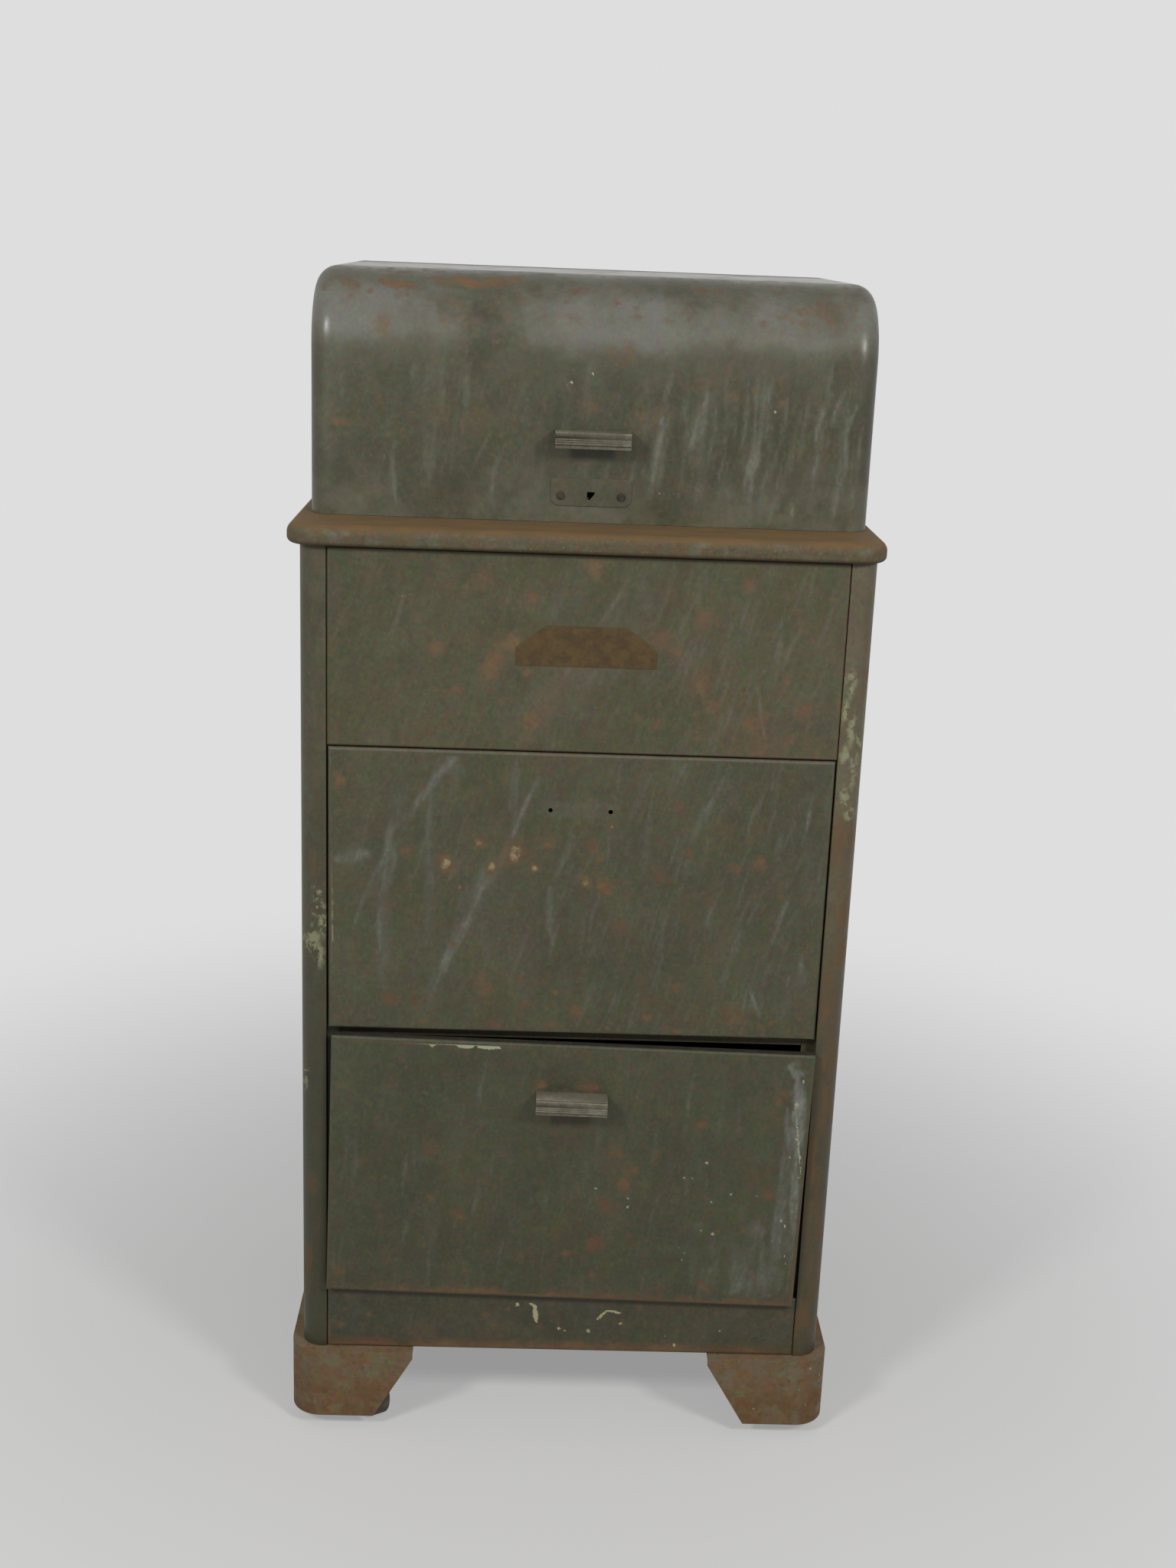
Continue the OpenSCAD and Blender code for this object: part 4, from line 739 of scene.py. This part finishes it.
def kick_stains(u, v, low, high):
    """Cream chips and brown wear along the bottom."""
    fray = 3 * (grain(u, v, 6, 57) - 0.5)
    foot = unit(1.3 - (v - low[1]) / 12) * (0.3 + 1.3 * grain(u, v, 20, 55))
    rust = most(brushed(u, v, faint(54, 50, low, high, 0.2, 5, 12, 0.7)), foot)
    hooks = [(-34, 55, -27, 52, 3, 1), (-28, 52, -26, 34, 7, 1), (36, 37, 46, 48, 3.5, 1),
             (46, 48, 63, 45, 3, 1)]
    chip = brushed(u + fray, v + fray, spots(KICK_CHIPS, 4.6, 0.95) + hooks)
    return {"haze": 0.3 * grain(u, v, 30, 56), "rust": rust, "chip": chip}


# ---------------- hood and fronts

def hood_skin(form):
    """The hood's outer skin, a face, a quarter round and a top with rolled sides, as four functions
    of points: whether they lie on it, its unrolling, its rolling up, and how far it shows."""
    low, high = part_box("hood_shell")
    sweep, roll = form.sweep, form.roll
    mid_y, mid_z = low.y + sweep, high.z - sweep

    def on_face(p):
        """Whether points lie on the face, sweep and top, without the rolled edges."""
        x, y, z = p.T
        across = np.hypot(y - mid_y, z - mid_z)
        swept = (np.abs(across - sweep) < 30 * NEAR) & (y < mid_y + NEAR) & (z > mid_z - NEAR)
        flat = (np.abs(y - low.y) < 10 * NEAR) | (np.abs(z - high.z) < 10 * NEAR)
        return (swept | flat) & (np.abs(x) < high.x - roll + 10 * NEAR)

    def unroll(p):
        """x, and the way along face, sweep and top from the hood's bottom edge."""
        x, y, z = p.T
        turn = np.arctan2(np.maximum(z - mid_z, 0), np.maximum(mid_y - y, 1e-9))
        return np.stack([x, np.minimum(z, mid_z) - low.z + sweep * turn + np.maximum(y - mid_y, 0)], 1)

    def roll_up(net):
        """The points in space: the face rises, the sweep turns by way / radius, the top runs back."""
        x, over = net[:, 0], net[:, 1] - mid_z + low.z
        turn = np.clip(over / sweep, 0, math.pi / 2)
        y = mid_y - sweep * np.cos(turn) + np.maximum(over - sweep * math.pi / 2, 0)
        return np.stack([x, y, mid_z + np.minimum(over, 0) + sweep * np.sin(turn)], 1)

    def shown(p):
        """1 on the outer skin and 0 on the inner one, fading down the rolled sides, where the depth
        below the skin and the way out past the roll's middle make a circle."""
        x, y, z = p.T
        depth = np.where(z < mid_z, y - low.y, np.where(
            y > mid_y, high.z - z, sweep - np.hypot(y - mid_y, z - mid_z)))
        aside = np.maximum(np.abs(x) - high.x + roll, 0)
        skin = (np.hypot(roll - depth, aside) > roll - 0.4 * MM) & (depth < 1.1 * roll)
        return skin * unit(2 - 2.2 * depth / roll)

    return on_face, unroll, roll_up, shown


def front(node, where, shades, seed, fields, step, marked, painted_shade="#16140f", **coats):
    """A drawer front or panel: its flat face netted and stained by fields, shown as marked says, in
    worn enamel, its folded edges behind the face painted dark as shade in the gaps round it."""
    low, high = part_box(node)
    mesh = dense(joined(node), lambda p: np.abs(p[:, 1] - low.y) < 10 * NEAR, lambda p: p[:, [0, 2]],
                 lambda net: np.stack([net[:, 0], np.full(len(net), low.y), net[:, 1]], 1), step)
    points = points_of(mesh)
    u, v = points[:, 0] / MM, (points[:, 2] - BASE_Z) / MM
    corners = (low.x / MM, (low.z - BASE_Z) / MM), (high.x / MM, (high.z - BASE_Z) / MM)
    stain(mesh, **fields(u, v, *corners))
    coat = enamel("folded steel, " + where, *shades, seed, **coats)
    # Painted shade: from 1.5 mm behind the face, the folded edges are darkened to stand for the shade in the
    # gaps.
    coat.lay(coat.band(1, low.y + 1.5 * MM, low.y + 3 * MM), painted_shade, 0.8, strength=0.92)
    finer(node, stained(coat, seed, **marked), mesh)


# ---------------- operators

class Builder:
    """What the operators share: one step with undo."""
    bl_options = {"REGISTER", "UNDO"}


class CABINET_OT_hood(Builder, Operator):
    """Drawn hood, chalky pale paint with painted sheen along its sweep, a painted reflection along its top,
    streaked by water, with its rear sheet.
    """
    bl_idname = "cabinet.hood"
    bl_label = "Hood"

    def execute(self, context):
        form, paints = context.scene.cabinet_form, context.scene.cabinet_enamel
        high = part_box("hood_shell")[1]
        on_face, unroll, roll_up, shown = hood_skin(form)
        mesh = joined("hood_shell", beyond=high.x - form.roll - 10 * NEAR)
        mesh = dense(mesh, on_face, unroll, roll_up, 1.1 * form.net)
        points = points_of(mesh)
        share = shown(points)
        stain(mesh, **{name: field * share for name, field in hood_stains(*(unroll(points) / MM).T).items()})
        coat = enamel("drawn steel, hood", paints.hood_light, paints.hood_dark, 2.0, cloudy=0.3,
                      rust=0.2, rough=0.36)
        coat.blotch((0.06, 0.06, 0.07), 0.48, 0.6, "#393823", strength=0.5, detail=6.0, seed=9.0)
        coat.lay(coat.frayed("skirt", 0.02, 0.5, 0.0, 1.0), "#63614f")
        # Chalky paint and painted sheen on the sweep and painted reflection on the top, both from the pale
        # field.
        coat.lay(coat.frayed("pale", 0.012, 0.7, 0.0, 1.0, 1.0), "#706f64", 0.3, strength=0.95)
        coat.lay(coat.frayed("pale", 0.03, 0.9, 0.3, 1.2, 2.0), "#78776e", 0.3, strength=0.6)
        coat.lay(coat.frayed("ghost", 0.006, 1.0, 0.4, 0.9, 3.0), "#4b4335", 0.65, strength=0.4)
        # Painted reflection: a near-white band along the top's front edge.
        top = coat.band(2, high.z - 4 * MM, high.z - 1 * MM)
        coat.lay(times(top, coat.frayed("pale", 0.02, 0.8, 0.0, 1.0)), "#a9a79b", 0.32)
        finer("hood_shell", stained(coat, 4.0, haze="#6e6e5f", core=0.5), mesh)
        finer("hood_back", enamel("folded steel, hood's rear", "#5a5944", "#4c4b37", 5.0).shade())
        return {"FINISHED"}


class CABINET_OT_slab(Builder, Operator):
    """Rust-brown slab with a rolled edge, and the filing well that hangs in it."""
    bl_idname = "cabinet.slab"
    bl_label = "Slab and well"

    def execute(self, context):
        low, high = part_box("top_slab")
        coat = rusty_enamel("olive enamel rusted through, slab", context.scene.cabinet_enamel.slab,
                            "#5f604e", 3.0, 0.35, "#6c5637")
        wander = coat.ragged(0.02, 0.002)
        top = coat.band(2, high.z - 8 * MM, high.z - 1 * MM, wander)
        coat.lay(top, "#6e5532", 0.8, strength=0.75)
        ochre = coat.patches((0.05, 0.02, 0.02), 0.4, 0.65, detail=6.0, seed=5.0)
        coat.lay(times(top, ochre), "#7a5d35", 0.85, strength=0.7)
        lip = coat.band(2, low.z + 4 * MM, low.z, wander)
        coat.lay(lip, "#55402a", 0.85, strength=0.7)
        finer("top_slab", coat.shade())
        well = enamel("folded steel, well", "#5a5947", "#4c4b3a", 9.0, rust=0.2, rough=0.62)
        finer("filing_well", well.shade())
        return {"FINISHED"}


class CABINET_OT_fronts(Builder, Operator):
    """Drawer fronts, badge panel and kick panel, each a shallow pan of sheet."""
    bl_idname = "cabinet.fronts"
    bl_label = "Fronts"

    def execute(self, context):
        step, paints = context.scene.cabinet_form.net, context.scene.cabinet_enamel
        front("middle_drawer_front", "middle drawer", (paints.middle_light, paints.middle_dark), 1.0,
              middle_stains, step, dict(chip="#9e906c", core=0.5, crisp=0.2), cloudy=0.35, rust=0.25)
        front("lower_drawer_front", "lower drawer", (paints.lower_light, paints.lower_dark), 2.0,
              lower_stains, step, dict(haze="#777870", core=1.0), cloudy=0.3, rust=0.2)
        # The badge panel's folded edges take a paler painted shade.
        front("badge_panel", "badge panel", (paints.panel_light, paints.panel_dark), 3.0, panel_stains,
              step, dict(haze="#6d685b", rust="#6e5440"), "#403c2c", cloudy=0.35, rust=0.3)
        # The kick panel's shades are the darkest: partly the enamel's own tone, partly painted shade near the
        # floor.
        front("kick_panel", "kick panel", ("#44422c", "#3a3926"), 4.0, kick_stains, step,
              dict(chip="#bcb78f"), cloudy=0.2, rust=0.3)
        return {"FINISHED"}


class CABINET_OT_carcass(Builder, Operator):
    """Side walls with their posts, rear sheet, bottom sheet and rails."""
    bl_idname = "cabinet.carcass"
    bl_label = "Carcass"

    def execute(self, context):
        front_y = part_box("badge_panel")[0].y
        for node, light, dark, chips, rust in (
                ("left_side", "#524d38", "#42402b", LEFT_CHIPS, LEFT_RUST),
                ("right_side", "#6a624c", "#594f39", RIGHT_CHIPS, RIGHT_RUST)):
            coat = enamel("folded steel, " + node.replace("_", " "), light, dark, 7.0, cloudy=0.4,
                          rust=0.3)
            near = coat.band(1, front_y + 30 * MM, front_y + 15 * MM)
            fray = coat.ragged(0.008, 0.006)
            blotch = coat.patches((0.01, 0.01, 0.03), 0.35, 0.6, detail=6.0, seed=3.0)
            # Painted shade: the walls darken towards the bottom as the light falls off towards the floor.
            coat.lay(coat.band(2, 0.75, 0.3, coat.ragged(0.06, 0.05)), "#30321d", strength=0.6)
            coat.lay(times(coat.marks(rust, 0.8, front_y, fray), blotch, near), "#6d5336", 0.75,
                     strength=0.75)
            bits = coat.patches((0.007, 0.007, 0.009), 0.44, 0.54, detail=3.0, seed=4.0)
            coat.lay(times(coat.marks(chips, 0.6, front_y, fray), bits, near), "#989a78", 0.6,
                     strength=0.85)
            finer(node, coat.shade())
        finish = enamel("folded steel, body", "#5d5645", "#4b4533", 8.0, rust=0.5).shade()
        for node in ("back_panel", "base_pan", "upper_rail", "divider_rail"):
            finer(node, finish)
        return {"FINISHED"}


class CABINET_OT_drawers(Builder, Operator):
    """Trays, backs, runners and tracks of the two drawers."""
    bl_idname = "cabinet.drawers"
    bl_label = "Drawer trays"

    def execute(self, context):
        inside = enamel("folded steel, inside", "#5f5e4f", "#545344", 11.0, cloudy=0.3, rust=0.2).shade()
        for name in ("middle", "lower"):
            finer(name + "_drawer_tray", inside)
            finer(name + "_drawer_back", inside)
        tracks = plain_steel("mild steel, rolled and dull")
        paint(tracks, "middle_drawer_runners", "lower_drawer_runners", "middle_tracks", "lower_tracks")
        return {"FINISHED"}


class CABINET_OT_badge(Builder, Operator):
    """Plain stepped plate on the fixed panel."""
    bl_idname = "cabinet.badge"
    bl_label = "Badge"

    def execute(self, context):
        bronze = plain_steel("bronze, pressed and tarnished", "#5c4a2a", "#503e27", 0.5, 0.4)
        finer("badge_plate", bronze, width=0.15)
        return {"FINISHED"}


class CABINET_OT_lock(Builder, Operator):
    """Lock plate, its rivets, case and bolt."""
    bl_idname = "cabinet.lock"
    bl_label = "Lock"

    def execute(self, context):
        plate = enamel("pressed steel, lock plate", "#54533f", "#484733", 13.0, cloudy=0.4, rust=0.3,
                       wavy=False)
        finer("lock_plate", plate.shade())
        rivets = plain_steel("mild steel, headed and rusted", "#453d30", "#32291e", 0.6, 0.4)
        finer("lock_rivets", rivets, width=0.8)
        # Painted shade: the lock case is made near black so that the keyhole shows dark.
        keyhole_shade = plain_steel("mild steel, pressed and dark with grime", "#2c2821", "#1e1b17", 0.8, 0.2)
        paint(keyhole_shade, "lock_case")
        paint(plain_steel("mild steel, sheared and dull", seed=1.0), "lock_bolt", "strike_plate")
        return {"FINISHED"}


class CABINET_OT_pulls(Builder, Operator):
    """Bin pulls with a beaded top edge and a flat bar."""
    bl_idname = "cabinet.pulls"
    bl_label = "Pulls"

    def execute(self, context):
        for node, name, colour, dull, seed in (
                ("hood_pull", "zinc alloy, cast and dulled", "#6d6958", "#5f5b4a", 4.0),
                ("lower_pull", "zinc alloy, cast and rubbed brighter", "#7b7665", "#6b6655", 5.0)):
            finer(node, plain_steel(name, colour, dull, 0.42, 0.3, seed), sharp=80)
        screws = plain_steel("mild steel, turned and dull", seed=2.0)
        paint(screws, "hood_pull_screws", "lower_pull_screws")
        return {"FINISHED"}


class CABINET_OT_feet(Builder, Operator):
    """Pressed corner brackets with tapering walls."""
    bl_idname = "cabinet.feet"
    bl_label = "Feet"

    def execute(self, context):
        for i, corner in enumerate(CORNERS):
            under, over = (("#786448", "#7a7355"), ("#796547", "#79745c"))[i % 2]
            coat = rusty_enamel("enamel rusted through on pressed steel, foot " + corner, under, over,
                                5.0 + 2 * i)
            grey = coat.patches(0.012, 0.46, 0.62, detail=7.0, seed=4.0 + i)
            coat.lay(times(grey, coat.band(2, 0.03, 0.075)), "#7a705e", 0.75, strength=0.6)
            crust = coat.patches(0.018, 0.42, 0.56, detail=8.0, seed=8.0 + i)
            coat.lay(times(crust, coat.band(2, 0.075, 0.035)), "#724f2d", 0.9, strength=0.6)
            share = 0.5 if corner == "front_right" else 0.2
            pale = coat.specks(0.011, 0.0019, share, 3.0 + i, coat.ragged(0.004, 0.002))
            coat.lay(pale, "#b0a892", 0.8, strength=0.8)
            finer("foot_" + corner, coat.shade())
        return {"FINISHED"}


class CABINET_OT_casters(Builder, Operator):
    """Swivel casters: plates, forks, axles and rubber wheels."""
    bl_idname = "cabinet.casters"
    bl_label = "Casters"

    def execute(self, context):
        steel = plain_steel("mild steel, pressed and rusted", "#5a4a38", "#44372a", 0.65, 0.4, 2.0)
        rubber = wheel_rubber()
        for corner in CORNERS:
            finer("fork_" + corner, steel)
            finer("wheel_" + corner, rubber)
            paint(steel, "axle_" + corner)
        paint(steel, "caster_plates", "kingpins", "caster_bolts")
        return {"FINISHED"}


class CABINET_OT_hinges(Builder, Operator):
    """Two butt hinges behind the hood with their pins and screws."""
    bl_idname = "cabinet.hinges"
    bl_label = "Hinges"

    def execute(self, context):
        steel = plain_steel("mild steel, hinge, dull", "#6f685b", "#574c3d", 0.5, 0.7, 6.0)
        for node in ("hinge_deck_leaves", "hinge_hood_leaves"):
            finer(node, steel)
        paint(steel, "hinge_pins", "hinge_deck_screws", "hinge_hood_screws")
        return {"FINISHED"}


class CABINET_OT_stage(Builder, Operator):
    """Pale floor, soft lamps, pale surroundings and the camera."""
    bl_idname = "cabinet.stage"
    bl_label = "Stage"

    def execute(self, context):
        scene, settings = context.scene, context.scene.cabinet_stage
        mesh = bpy.data.meshes.new("floor")
        mesh.from_pydata([(x * FLOOR_HALF, y * FLOOR_HALF, 0) for x, y in
                          ((-1, -1), (1, -1), (1, 1), (-1, 1))], [], [(0, 1, 2, 3)])
        place("floor", mesh, floor_paint(settings))
        lamps = ("key lamp", -1, settings.key_power), ("fill lamp", 1, settings.fill_power)
        for name, side, power in lamps:
            data = bpy.data.lights.new(name, "AREA")
            data.shape, data.size, data.energy = "DISK", LAMP_WIDTH, power
            lamp = bpy.data.objects.new(name, data)
            lamp.location = (side * LAMP_ASIDE, -LAMP_BEFORE, LAMP_HIGH)
            aim = Vector((0.0, 0.0, LAMP_AIM)) - lamp.location
            lamp.rotation_euler = aim.to_track_quat("-Z", "Y").to_euler()
            scene.collection.objects.link(lamp)
        world = bpy.data.worlds.new("pale surroundings")
        scene.world = world
        world.use_nodes = True
        tree = world.node_tree
        tree.nodes.clear()
        path = add(tree, "LightPath", {})
        rays = path.node.outputs
        seen = either(path, rays["Is Glossy Ray"], rays["Is Transmission Ray"])
        strength = add(tree, "Mix", {0: seen, 2: settings.sky, 3: 1.0})
        shader = add(tree, "Background", {"Color": linear(settings.surroundings), "Strength": strength})
        add(tree, "OutputWorld", {0: shader})
        camera = bpy.data.objects.new("camera", bpy.data.cameras.new("camera"))
        scene.collection.objects.link(camera)
        camera.data.lens = LENS
        yaw, pitch, roll = (math.radians(angle) for angle in CAMERA_TURNS)
        turn = (Matrix.Rotation(yaw, 3, "Z") @ Matrix.Rotation(pitch, 3, "X")
                @ Matrix.Rotation(roll, 3, "Y") @ Matrix.Rotation(math.pi / 2, 3, "X"))
        camera.matrix_world = Matrix.Translation(CAMERA_AT) @ turn.to_4x4()
        scene.camera = camera
        scene.view_settings.view_transform = "Standard"
        return {"FINISHED"}


class CABINET_PT_panel(Panel):
    """Lists the cabinet's builders and settings."""
    bl_label = "Filing cabinet"
    bl_space_type = "VIEW_3D"
    bl_region_type = "UI"
    bl_category = "Cabinet"

    def draw(self, context):
        for name in GROUPS:
            group = getattr(context.scene, name)
            for setting in group.__annotations__:
                self.layout.prop(group, setting)
        for step in STEPS:
            self.layout.operator(step.bl_idname)


GROUPS = {"cabinet_stage": CabinetStage, "cabinet_form": CabinetForm, "cabinet_enamel": CabinetEnamel}
STEPS = (CABINET_OT_stage, CABINET_OT_hood, CABINET_OT_slab, CABINET_OT_fronts, CABINET_OT_carcass,
         CABINET_OT_drawers, CABINET_OT_badge, CABINET_OT_lock, CABINET_OT_pulls, CABINET_OT_feet,
         CABINET_OT_casters, CABINET_OT_hinges)
CLASSES = (*GROUPS.values(), *STEPS, CABINET_PT_panel)


def register():
    """Registers the classes and hangs the settings on the scene."""
    for cls in CLASSES:
        bpy.utils.register_class(cls)
    for name, group in GROUPS.items():
        setattr(bpy.types.Scene, name, PointerProperty(type=group))


def unregister():
    """Takes the settings and the classes away again."""
    for name in GROUPS:
        delattr(bpy.types.Scene, name)
    for cls in reversed(CLASSES):
        bpy.utils.unregister_class(cls)


def main():
    register()
    for step in STEPS:
        group, name = step.bl_idname.split(".")
        getattr(getattr(bpy.ops, group), name)()
    bpy.context.view_layer.update()


if __name__ == "__main__":
    main()
